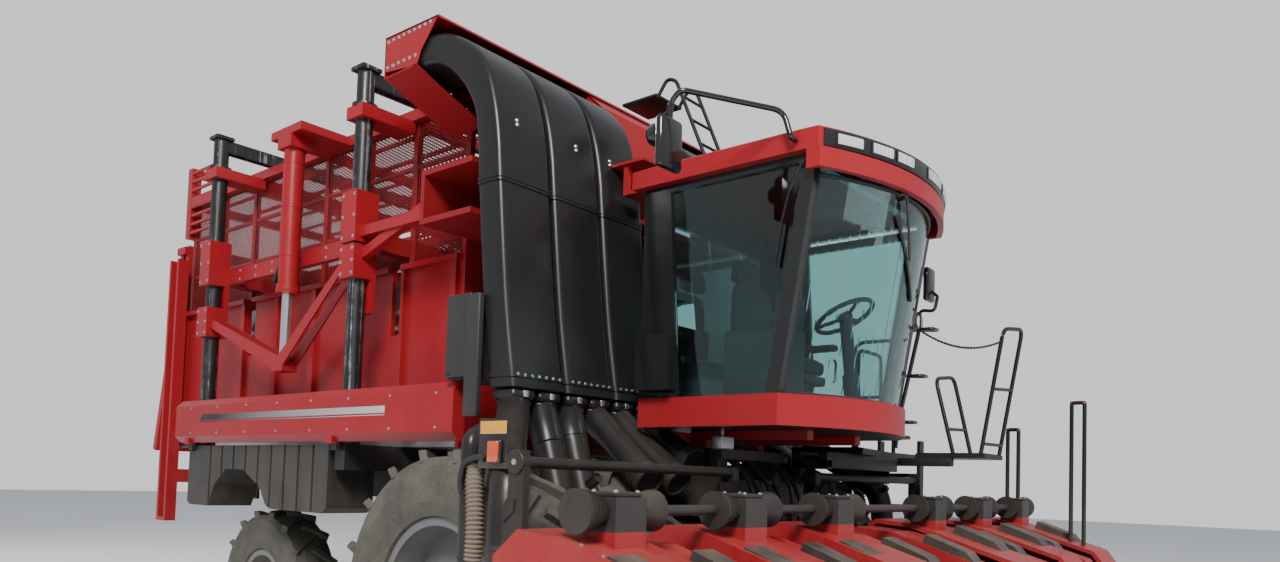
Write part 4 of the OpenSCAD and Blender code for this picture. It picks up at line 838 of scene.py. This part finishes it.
seat_cloth = painted("seat cloth", (0.04, 0.042, 0.048), rough=0.85, dust=0.06, bump=0.5, grain=520.0)
seat_pads = {"seat_cushion": cushion((1.11, 0, 2.625), (0.205, 0.235, 0.058)),
             "seat_back": cushion((0.805, 0, 2.955), (0.3, 0.225, 0.055), math.radians(-90)),
             "seat_headrest": cushion((0.735, 0, 3.345), (0.085, 0.135, 0.042), math.radians(-82), 0.012, 1)}
for name, pad in seat_pads.items():
    make_piece(name, [pad], "chassis", seat_cloth, 60)
seat_frame = [block((0.94, -0.2, 2.222), (1.28, 0.2, 2.3), 0.02),
              block((0.9, -0.215, 2.5), (1.31, 0.215, 2.566), 0.02)]
seat_frame.append(ribbed([(1.1, 0, 2.3), (1.1, 0, 2.5)], 0.15, 0.02, 0.035, 28))
for side in (-1, 1):
    seat_frame.append(block((1.0, side * 0.3 - 0.04, 2.765), (1.34, side * 0.3 + 0.035, 2.815), 0.02))
    seat_frame.append(block((0.97, side * 0.29 - 0.035, 2.6), (1.05, side * 0.29 + 0.035, 2.775), 0.02))
console = [block((1.0, -0.64, 2.222), (1.48, -0.385, 2.8), 0.03),
           block((1.38, -0.63, 2.77), (1.47, -0.39, 3.02), 0.025),
           tube([(1.2, -0.33, 2.81), (1.21, -0.33, 2.88)], 0.012, 12),
           block((1.175, -0.355, 2.87), (1.245, -0.305, 2.96), 0.022)]
column_foot, column_top = np.array([1.64, 0, 2.222]), np.array([1.556, 0, 2.94])
column = [tube([column_foot, column_foot + 0.45 * (column_top - column_foot)], 0.055, 24),
          tube([column_foot + 0.42 * (column_top - column_foot), column_top], 0.042, 24)]
wheel_way = np.array([-math.sin(math.radians(28)), 0, math.cos(math.radians(28))])
wheel_side = np.array([wheel_way[2], 0, -wheel_way[0]])
rim_turn = np.linspace(0, TAU, 61)[:-1, None]
rim_out = np.cos(rim_turn) * wheel_side + np.sin(rim_turn) * np.array([0, 1, 0])
rim_line = column_top + 0.01 * wheel_way + 0.2 * rim_out
horn_profile = [(0.03, -0.02), (0.05, -0.01), (0.055, 0.012), (0.04, 0.028), (0.01, 0.032)]
wheel_parts = [round_bar(rim_line, rim_out, wheel_way, 0.016, 14),
               turned(horn_profile, column_top, wheel_way, 24)]
for a in np.radians([90, 210, 330]):
    spoke = math.cos(a) * wheel_side + math.sin(a) * np.array([0, 1, 0])
    spoke_ends = [column_top + 0.04 * spoke, column_top + 0.01 * wheel_way + 0.19 * spoke]
    wheel_parts.append(tube(spoke_ends, 0.013, 10))
cab_parts = seat_frame + console + column + wheel_parts
make_piece("seat_frame_and_console", cab_parts, "chassis", cab_trim, stands_for=["cab_interior"])
screen_box = [block((1.39, -0.56, 3.03), (1.43, -0.36, 3.2), 0.012),
              tube([(1.42, -0.46, 2.99), (1.41, -0.46, 3.06)], 0.012, 10)]
make_piece("cab_monitor", screen_box, "chassis", cab_black)
handle_path = [(1.02, 0.874, 2.62), (1.02, 0.905, 2.63), (1.02, 0.905, 2.78), (1.02, 0.874, 2.79)]
handle = bent_rod(handle_path, 0.02, 0.01)
make_piece("door_handle", [handle], "cab_door", cab_black)
antenna_foot = [(0.016, 0), (0.018, 0.02), (0.01, 0.05), (0.005, 0.08)]
antenna = [turned(antenna_foot, (0.95, 0.55, 3.962), (0, 0, 1), 16),
           tube([(0.95, 0.55, 4.03), (0.945, 0.55, 4.55)], [0.0042, 0.0022], 8)]
make_piece("roof_antenna", antenna, "chassis", cab_black)

# Mirrors, the grab post by the windscreen and its loops

mirror_arm = [(1.69, -0.93, 3.84), (1.69, -0.99, 3.84), (1.64, -1.0, 4.01), (1.25, -1.5, 4.06),
              (1.18, -1.5, 4.0), (1.18, -1.5, 3.88)]
lamp_arm = [(1.18, -1.5, 3.95), (1.11, -1.515, 3.92), (1.1, -1.52, 3.84)]
arm_lamp = [(0.02, -0.04), (0.055, -0.035), (0.068, -0.01), (0.07, 0.035), (0.062, 0.04)]
grab_post = [(1.49, 1.0, 2.1), (1.5, 1.0, 2.25), (1.66, 1.0, 2.99), (1.665, 1.0, 3.07)]
mirror_parts = [bent_rod(mirror_arm, 0.07, 0.017, 14, 8),
                block((1.15, -1.605, 3.6), (1.205, -1.395, 3.91), 0.026),
                bent_rod(lamp_arm, 0.03, 0.012),
                turned(arm_lamp, (1.095, -1.52, 3.82), (1, 0, 0), 28),
                bent_rod(grab_post, 0.05, 0.016, 14)]
for x, z in ((1.512, 2.3), (1.589, 2.65), (1.667, 3.0)):
    loop = [(x - 0.01, 0.872, z), (x - 0.01, 1.03, z), (x + 0.11, 1.1, z), (x + 0.11, 0.98, z), (x, 0.98, z)]
    mirror_parts.append(bent_rod(loop, 0.04, 0.012))
post_arm = [(1.665, 1.0, 3.05), (1.665, 1.0, 3.15), (1.78, 1.0, 3.13), (1.8, 1.0, 3.24)]
post_lamp = [(0.02, -0.045), (0.06, -0.035), (0.075, -0.01), (0.077, 0.03), (0.068, 0.034)]
mirror_parts += [bent_rod(post_arm, 0.04, 0.013),
                 block((1.705, 0.95, 3.21), (1.745, 1.1, 3.47), 0.02),
                 tube([(1.8, 1.0, 3.24), (1.735, 1.02, 3.3)], 0.012, 12),
                 turned(post_lamp, (1.63, 1.0, 3.06), (1, 0, 0), 28)]
make_piece("mirror_frames", mirror_parts, "chassis", cab_black, stands_for=["mirrors"])
mirror_faces = [block((1.1485, -1.59, 3.615), (1.1505, -1.41, 3.895), 0.001),
                block((1.703, 0.962, 3.222), (1.7055, 1.088, 3.458), 0.001)]
make_piece("mirror_faces", mirror_faces, "chassis", mirror_glass)
lens_profile = [(0.002, 0.012), (0.04, 0.008), (0.06, 0.0), (0.06, -0.01)]
lens_places = [(1.13, -1.52, 3.82), (1.66, 1.0, 3.06)]
lamp_lenses = [turned(lens_profile, place, (1, 0, 0), 28) for place in lens_places]
make_piece("mirror_lamp_lenses", lamp_lenses, "chassis", clear_lens)

# Marker panels and the cross shaft of the header lift, with its hanger plates

shaft_x, shaft_z = 1.04, 1.865
collar_profile = [(0.02, -0.035), (0.058, -0.033), (0.062, -0.028), (0.062, 0.028), (0.058, 0.033),
                  (0.02, 0.035)]
hanger_plate = [(0.985, 1.925), (1.095, 1.925), (1.1, 1.69), (1.1, 1.15), (0.95, 1.15), (0.95, 1.64),
                (0.985, 1.69)]
lift_parts = [rod((shaft_x, -2.46, shaft_z), (shaft_x, -0.55, shaft_z), 0.03, 24),
              turned(collar_profile, (shaft_x, -2.45, shaft_z), (0, 1, 0), 32),
              prism(hanger_plate, 1, -2.47, -2.43),
              prism([(0.96, 1.6), (1.04, 1.68), (1.04, 1.62), (0.965, 1.56)], 1, -2.478, -2.47),
              block((0.96, -0.58, 1.8), (1.08, -0.52, 1.9), 0.015),
              rod((shaft_x, -1.86, 1.8), (shaft_x - 0.07, -1.86, 1.76), 0.03, 16)]
make_piece("lift_cross_shaft", both_sides(lift_parts), "chassis", frame_black)
hanger_bolts = [(x, -2.47, z) for x in (1.0, 1.05) for z in (1.2, 1.26)]
hanger_bolts.append((shaft_x, -2.485, shaft_z))
bolt_piece("hanger_bolts", hanger_bolts, 0.018)
panel_y, panel_x0, panel_x1 = -2.345, 0.6, 0.84
marker_plate = [block((panel_x0, panel_y - 0.004, 1.83), (panel_x1, panel_y + 0.004, 2.1), 0.003),
                rod((panel_x1 - 0.04, panel_y + 0.01, 1.865), (shaft_x, panel_y + 0.01, shaft_z), 0.016),
                block((0.7, panel_y - 0.028, 1.855), (0.8, panel_y - 0.002, 1.985), 0.012)]
marker_parts = both_sides(marker_plate) + [visor_band(0.0, 3.79, 3.89)]
make_piece("marker_plates", marker_parts, "chassis", lamp_black, stands_for=["work_lamps"])
reflector = block((0.615, panel_y - 0.009, 2.015), (0.825, panel_y - 0.003, 2.085), 0.003)
make_piece("marker_reflectors", [mirrored(reflector)], "chassis", yellow_lens)
marker_lamp = block((0.708, panel_y - 0.04, 1.863), (0.792, panel_y - 0.022, 1.977), 0.01)
make_piece("marker_lamps", [mirrored(marker_lamp)], "chassis", orange_lens)
under_lamp = [block((0.93, -0.66, 2.01), (1.005, -0.48, 2.11), 0.02),
              rod((0.965, -0.57, 2.1), (0.965, -0.57, 2.152), 0.012)]
make_piece("under_cab_lamp", under_lamp, "chassis", galvanised)
under_lens = block((1.0, -0.645, 2.022), (1.012, -0.495, 2.098), 0.005)
make_piece("under_cab_lens", [under_lens], "chassis", clear_lens)

# Outside, below the ducts: a black riser with its rings, its hoses and the side box covers

riser_x, riser_y = 0.445, -2.275
riser_path = [(riser_x, riser_y, 1.26), (riser_x, riser_y, 2.0), (0.41, -2.13, 2.06)]
clamp_profile = [(0.052, -0.018), (0.059, -0.014), (0.059, 0.014), (0.052, 0.018)]
riser_ring = [(0.052, -0.01), (0.056, -0.008), (0.056, 0.008), (0.052, 0.01)]
riser = [bent_rod(riser_path, 0.06, 0.052, 24, 8),
         turned(clamp_profile, (riser_x, riser_y, 1.7), (0, 0, 1), 24),
         turned(riser_ring, (riser_x, riser_y, 1.34), (0, 0, 1), 24)]
make_piece("outer_riser", both_sides(riser), "chassis", duct_black)
marker_route = [(riser_x, -2.333, 1.7), (0.455, -2.345, 1.78), (0.5, -2.352, 1.86), (0.6, -2.354, 1.89),
                (0.66, -2.352, 1.88)]
marker_hose = hose(marker_route, 50, 0.017, 12)
make_piece("marker_hoses", [mirrored(marker_hose)], "chassis", rubber)
dusty_route = [(0.515, -2.29, 1.84), (0.545, -2.32, 1.74), (0.575, -2.335, 1.6), (0.585, -2.34, 1.46),
               (0.575, -2.335, 1.33)]
dusty_hose = ribbed(flowing(dusty_route, 60), 0.042, 0.01, 0.024)
make_piece("dusty_hoses", [mirrored(dusty_hose)], "chassis", dusty_rubber)
side_box = [block((-0.315, -1.895, 2.415), (-0.075, -1.85, 2.955), 0.012),
            block((-0.11, -1.905, 2.16), (0.02, -1.86, 2.94), 0.01),
            rod((-0.285, -1.9, 2.44), (-0.285, -1.893, 2.44), 0.012)]
make_piece("side_box_covers", both_sides(side_box), "chassis", moulding)

# Grab loops beside the inner ducts, the roof's step plate and its short ladder

loop_side = duct_edge + 2 * duct_pitch + duct_width + 0.02
grab_path = [(0.0, loop_side - 0.02, 3.62), (0.1, loop_side + 0.02, 3.62), (0.23, loop_side + 0.02, 2.92),
             (0.17, loop_side - 0.02, 2.8)]
grab = bent_rod(grab_path, 0.05, 0.011)
make_piece("duct_grab_loops", [mirrored(grab)], "chassis", rail_black)
plate_z, plate_x0, plate_x1 = 4.5, 0.13, 0.45
plate_parts = [block((plate_x0, -0.75, plate_z), (plate_x1, -0.45, plate_z + 0.02), 0.006)]
for y in np.arange(-0.72, -0.47, 0.045):
    cleat = (plate_x0 + 0.02, y, plate_z + 0.018), (plate_x1 - 0.02, y + 0.012, plate_z + 0.03)
    plate_parts.append(block(*cleat, 0.004))
plate_parts.append(rod((0.44, -0.6, 3.96), (0.44, -0.6, plate_z), 0.02, 14))
for y in (-0.72, -0.48):
    stile = [(0.44, y, plate_z), (0.52, y, plate_z + 0.11), (0.6, y, plate_z + 0.08), (0.88, y, 3.955)]
    plate_parts.append(bent_rod(stile, 0.05, 0.013))
for k in (0.2, 0.5, 0.8):
    rung_x, rung_z = 0.6 + 0.28 * k, plate_z + 0.08 - 0.62 * k
    plate_parts.append(rod((rung_x, -0.72, rung_z), (rung_x, -0.48, rung_z), 0.01, 10))
make_piece("roof_step_plate", plate_parts, "chassis", rail_black)

# Deck beside the cab, its landing over the header, the rails and the chain

deck_outline = [(0.64, 0.9), (1.27, 0.9), (1.08, 1.95), (1.08, 2.48), (0.59, 2.48), (0.59, 2.36),
                (0.64, 2.31)]
landing = [(1.27, 1.9), (1.86, 1.9), (1.86, 2.34), (1.27, 2.34)]
hinge = (0.612, 2.535, 0)
deck_parts = [prism(deck_outline, 2, 2.05, 2.1), prism(landing, 2, 2.06, 2.1),
              block((1.02, 1.9, 1.99), (1.58, 1.97, 2.06), 0.006),
              block((0.59, 2.45, 2.05), (0.634, 2.535, 2.1), 0.003),
              turned([(0.002, 2.05), (0.022, 2.05), (0.022, 2.1), (0.002, 2.1)], hinge, (0, 0, 1), 32),
              turned([(0.002, 2.005), (0.012, 2.007), (0.012, 2.143), (0.002, 2.145)], hinge, (0, 0, 1), 24)]
# the two beams under the deck, and the foot and the tie between them
beam_boxes = [((0.9, 0.46, 1.98), (0.98, 1.9, 2.05)), ((0.9, 0.46, 1.862), (0.98, 0.54, 1.98)),
              ((1.12, 0.46, 1.93), (1.2, 1.7, 2.05)), ((0.9, 0.46, 1.92), (1.2, 0.54, 1.99))]
deck_parts += [block(lo, hi, 0.005) for lo, hi in beam_boxes]


def tread_bar(y, x0, x1):
    """One raised bar of the tread on the deck."""
    return strands([(x0, y, 2.102)], [(x1, y, 2.102)], 0.004, 0.005)


tread = [tread_bar(y, 0.66, 1.24 - 0.19 * (y - 0.9) / 1.05 - 0.01) for y in np.arange(0.93, 1.94, 0.035)]
tread += [tread_bar(y, 0.66, 1.06) for y in np.arange(1.97, 2.46, 0.035)]
tread += [tread_bar(y, 1.29, 1.84) for y in np.arange(1.93, 2.32, 0.035)]
make_piece("deck_plates", deck_parts + tread, "chassis", frame_black, stands_for=["deck"])
corner_step = [block((1.42, 0.885, 2.17), (1.57, 1.1, 2.2), 0.01),
               block((1.44, 0.8, 2.155), (1.5, 0.95, 2.172), 0.004)]
make_piece("corner_step", corner_step, "chassis", frame_black)


def rail_loop(foot_a, foot_b, top_a, top_b, rungs):
    """A hoop from one foot up over two round bends to the other, with rungs at shares of its height."""
    radius = 0.017
    a, b, ta, tb = (np.array(v, float) for v in (foot_a, foot_b, top_a, top_b))
    parts = [bent_rod([a, ta, tb, b], 0.09, radius, 14, 8)]
    parts += [rod(a + (ta - a) * k, b + (tb - b) * k, radius * 0.85, 12) for k in rungs]
    return joined(parts)


# each hoop's two feet and two tops, and the shares of its height that have rungs
rail_hoops = [((1.59, 1.92, 2.1), (1.6, 2.31, 2.1), (1.43, 1.92, 2.74), (1.44, 2.31, 2.79), (0.32,)),
              ((1.82, 1.92, 2.1), (1.84, 2.31, 2.1), (1.99, 1.92, 3.12), (2.02, 2.31, 3.17), (0.52, 0.08)),
              ((0.68, 1.925, 2.1), (1.06, 1.925, 2.1), (0.68, 1.925, 3.1), (1.06, 1.925, 3.1), (0.5,)),
              ((0.68, 2.46, 2.1), (0.68, 1.99, 2.1), (0.68, 2.46, 3.05), (0.68, 1.99, 3.05), (0.5,))]
rails = [rail_loop(*hoop) for hoop in rail_hoops]
make_piece("deck_hoops", rails, "chassis", rail_black, stands_for=["deck_rails"])
ladder_tread = [block((0.675, y, z + 0.0305), (1.025, y + 0.01, z + 0.0365), 0.002)
                for z in 0.45 + 0.29 * np.arange(6) for y in (2.525, 2.55, 2.575)]
make_piece("ladder_tread", ladder_tread, "access_ladder", frame_black)
chain_span = sagging((1.6, 1.105, 3.034), (1.985, 1.92, 3.02), 0.1, 60)
chain_steps = np.diff(chain_span, axis=0)
link_turns = []
for k, step in enumerate(chain_steps):
    way = step / np.linalg.norm(step)
    side = np.cross(way, (0, 0, 1) if k % 2 else (1, 0, 0))
    side /= np.linalg.norm(side)
    link_turns.append(np.stack([way, side, np.cross(way, side)], -1))
link_turn = np.linspace(0, TAU, 16, endpoint=False)
link_out = np.stack([np.cos(link_turn), np.sin(link_turn), 0 * link_turn], -1)
link = round_bar(link_out * (0.0135, 0.0075, 0), link_out, np.array([0, 0, 1]), 0.0034, 6)
link_places = (chain_span[:-1] + chain_span[1:]) / 2
make_piece("landing_chain", [copies(link, link_places, link_turns)], "chassis", rail_black)

# Header: rubber shaft guards, covers on the hoods, bolts and hoses

row_pitch = 0.965
rows = [(i - 2.5) * row_pitch for i in range(6)]
hood_top_z, gear_z, gear_x = 1.57, 1.66, 1.87
cover_x0, cover_x1, lid_z = 2.02, 2.36, hood_top_z + 0.172


def hood_z(x):
    """The row hoods' top face, which falls by 0.3014 for each metre forward."""
    return hood_top_z - 0.02 - (x - 1.82) * 0.3014


# radius, and distance from the unit's middle, of the guard's ribs
guard_profile = [(0.03, 0.095), (0.06, 0.096), (0.066, 0.112), (0.06, 0.112), (0.07, 0.128), (0.065, 0.128),
                 (0.076, 0.146), (0.07, 0.146), (0.081, 0.166), (0.076, 0.166), (0.087, 0.19), (0.081, 0.19),
                 (0.092, 0.216), (0.088, 0.216), (0.094, 0.246), (0.03, 0.247)]
guards, covers, gearbox_bolts, gear_tops = [], [], [], []
for y in rows:
    side = 1 if y > 0 else -1
    middle = y + side * 0.24
    guards += [turned(guard_profile, (gear_x, middle, gear_z), (0, way, 0), 28) for way in (-1, 1)]
    low, high = (1.795, middle - 0.085, hood_top_z + 0.15), (1.945, middle + 0.085, lid_z)
    gear_tops.append(block(low, high, 0.008))
    gearbox_bolts += [(x, middle + dy, lid_z) for x in (1.81, 1.93) for dy in (-0.07, 0.07)]
    # the inner cover of every unit, and the outer one of the right units, are let into the hood
    for low, high, drop in ((0.3, 0.47, 0.0 if side > 0 else 0.05), (-0.235, -0.085, 0.05)):
        back, front = hood_z(cover_x0) - drop, hood_z(cover_x1) - drop
        profile = [(cover_x0, back), (cover_x0 + 0.02, back + 0.055), (cover_x1 - 0.05, front + 0.06),
                   (cover_x1, front)]
        covers.append(prism(profile, 1, *sorted((y + side * low, y + side * high))))
make_piece("shaft_guards", guards, "header", rubber)
make_piece("gearbox_lids", gear_tops, "header", frame_black)
make_piece("hood_covers", covers, "header", moulding)
bolt_piece("gearbox_bolts", gearbox_bolts, 0.014, (0, 0, 1), "header", both=False)
edge_bolts = [(x, -2.885, hood_z(x)) for x in np.linspace(1.9, 2.5, 6)]
bolt_piece("header_edge_bolts", edge_bolts, 0.013, (0.29, 0, 0.957), "header")
# black sleeves over the two upright hoops of the left end unit
hoops = [[(2.34, 2.6, 1.397), (2.34, 2.6, 2.56), (2.44, 2.6, 2.56), (2.44, 2.6, 1.367)],
         [(1.82, 2.6, 1.7235), (1.82, 2.6, 2.34), (1.91, 2.6, 2.34), (1.91, 2.6, 1.7235)]]
hoop_sleeves = [bent_rod(hoop, 0.02, 0.0172, 14, 4) for hoop in hoops]
make_piece("hoop_sleeves", hoop_sleeves, "header", rail_black)
hoses = []
for row, next_row in zip(rows, rows[1:]):
    a, b = row + 0.2, next_row - 0.2
    for lift, back in ((0.0, 0.0), (0.03, 0.035)):
        route = [(1.46 - back, a, 1.3 + lift), (1.44 - back, a + 0.1, 1.36 + lift),
                 (1.42 - back, (a + b) / 2, 1.22 + lift), (1.44 - back, b - 0.1, 1.36 + lift),
                 (1.46 - back, b, 1.3 + lift)]
        hoses.append(hose(route, 40, 0.014, 10))
make_piece("header_hoses", hoses, "header", rubber)
belly = []
for y, drop in ((-0.3, 0.1), (-0.18, 0.16), (-0.06, 0.12), (0.1, 0.18), (0.24, 0.11), (0.36, 0.15)):
    route = [(0.3, y, 2.02), (0.62, y + 0.02, 2.03), (0.86, y + 0.03, 1.98 - drop / 2),
             (1.0, y + 0.05, 1.86 - drop), (0.98, y + 0.06, 1.6 - drop), (0.8, y + 0.05, 1.42)]
    belly.append(hose(route, 50, 0.017, 10))
make_piece("belly_hoses", belly, "chassis", rubber)

# Wheels: bolt circles and hub caps

def wheel_details(centre, outward, circle, n, size):
    """A circle of n bolts about the wheel's axis, on a face that looks outward."""
    t = np.arange(n) * TAU / n
    x, z = centre[0] + circle * np.cos(t), centre[2] + circle * np.sin(t)
    return copies(bolt(size, (0, outward, 0)), np.stack([x, np.full(n, centre[1]), z], -1))


drive_axle_z = 0.975
hub_cap = [(0.002, 0.0), (0.045, 0.0), (0.048, 0.012), (0.03, 0.03), (0.002, 0.034)]
for side, word in ((-1, "right"), (1, "left")):
    hub, face, disc = ((0.0, side * out, drive_axle_z) for out in (2.06, 1.99, 1.921))
    drive = [wheel_details(hub, side, 0.085, 8, 0.016), wheel_details(face, side, 0.16, 12, 0.022),
             wheel_details(disc, side, 0.245, 12, 0.03), turned(hub_cap, hub, (0, side, 0), 24)]
    make_piece(f"drive_wheel_bolts_{word}", drive, f"drive_wheels_{word}", bright)

# Camera: from the right front, with the lens and shift found from the photograph's straight edges

camera_place = np.array([4.3637 + axle_x, -5.4823, 1.7913])
camera_turn, camera_pitch, camera_roll = math.radians(39.952), math.radians(2.726), math.radians(1.8)
focal_pixels, image_width = 890.08, 1280
centre_row, image_middle = 438.17, 281
ahead = np.array([-math.sin(camera_turn) * math.cos(camera_pitch),
                  math.cos(camera_turn) * math.cos(camera_pitch), math.sin(camera_pitch)])
level = np.array([math.cos(camera_turn), math.sin(camera_turn), 0.0])
above = np.cross(level, ahead)
right = level * math.cos(camera_roll) + above * math.sin(camera_roll)
upward = above * math.cos(camera_roll) - level * math.sin(camera_roll)
camera_data = bpy.data.cameras.new("camera")
camera = bpy.data.objects.new("camera", camera_data)
bpy.context.scene.collection.objects.link(camera)
camera_frame = np.eye(4)
camera_frame[:3] = np.stack([right, upward, -ahead, camera_place], -1)
camera.matrix_world = Matrix(camera_frame)
sensor_width = 36
camera_data.sensor_width = sensor_width
camera_data.lens = focal_pixels * sensor_width / image_width
camera_data.shift_y = (centre_row - image_middle) / image_width
bpy.context.scene.camera = camera


# Floor, backdrop and light

def backdrop_white(tree):
    """True for rays that see the backdrop straight or through glass."""
    path = add(tree, "LightPath").outputs
    return math_node(tree, "MAXIMUM", path["Is Camera Ray"], path["Is Transmission Ray"])


floor_mesh = bpy.data.meshes.new("floor")
floor_mesh.from_pydata([(-60, -60, 0), (60, -60, 0), (60, 60, 0), (-60, 60, 0)], [], [(0, 1, 2, 3)])
floor = bpy.data.objects.new("floor", floor_mesh)
bpy.context.scene.collection.objects.link(floor)
floor_finish, floor_tree, floor_shader, floor_where = new_finish("pale floor")
floor_tone = blended(floor_tree, noise(floor_tree, floor_where, 0.4, 4.0), (0.8, 0.8, 0.79),
                     (0.86, 0.86, 0.85))
feed(floor_tree, floor_shader, Base_Color=floor_tone)
floor_shader.inputs["Roughness"].default_value = 0.85
floor_mesh.materials.append(floor_finish)

world = bpy.data.worlds.new("soft room")
bpy.context.scene.world = world
world.use_nodes = True
sky = world.node_tree
sky.nodes["Background"].inputs["Color"].default_value = (0.8, 0.85, 0.92, 1)
sky.nodes["Background"].inputs["Strength"].default_value = 0.62
white = add(sky, "Background", Color=(0.93, 0.94, 0.95, 1), Strength=1.0)
choose = add(sky, "MixShader")
sky.links.new(backdrop_white(sky), choose.inputs[0])
sky.links.new(sky.nodes["Background"].outputs[0], choose.inputs[1])
sky.links.new(white.outputs[0], choose.inputs[2])
sky.links.new(choose.outputs[0], sky.nodes["World Output"].inputs["Surface"])


def soft_lamp(name, place, target, size, power, colour=(1, 1, 1)):
    """A large square lamp that looks at a point."""
    data = bpy.data.lights.new(name, "AREA")
    data.shape, data.size, data.energy, data.color = "SQUARE", size, power, colour
    lamp = bpy.data.objects.new(name, data)
    bpy.context.scene.collection.objects.link(lamp)
    back = np.array(place, float) - np.array(target, float)
    back /= np.linalg.norm(back)
    side = np.cross([0, 0, 1], back)
    side /= np.linalg.norm(side)
    turn = np.eye(4)
    turn[:3] = np.stack([side, np.cross(back, side), back, place], -1)
    lamp.matrix_world = Matrix(turn)
    return lamp


soft_lamp("key lamp", (11, -13, 14), (0, 0, 2), 5.0, 4900, (1, 0.97, 0.92))
soft_lamp("front fill", (16, 6, 8), (1, 0, 2), 8.0, 1100).visible_glossy = False
soft_lamp("rear fill", (-14, -6, 9), (-1, 0, 2), 8.0, 1000).visible_glossy = False
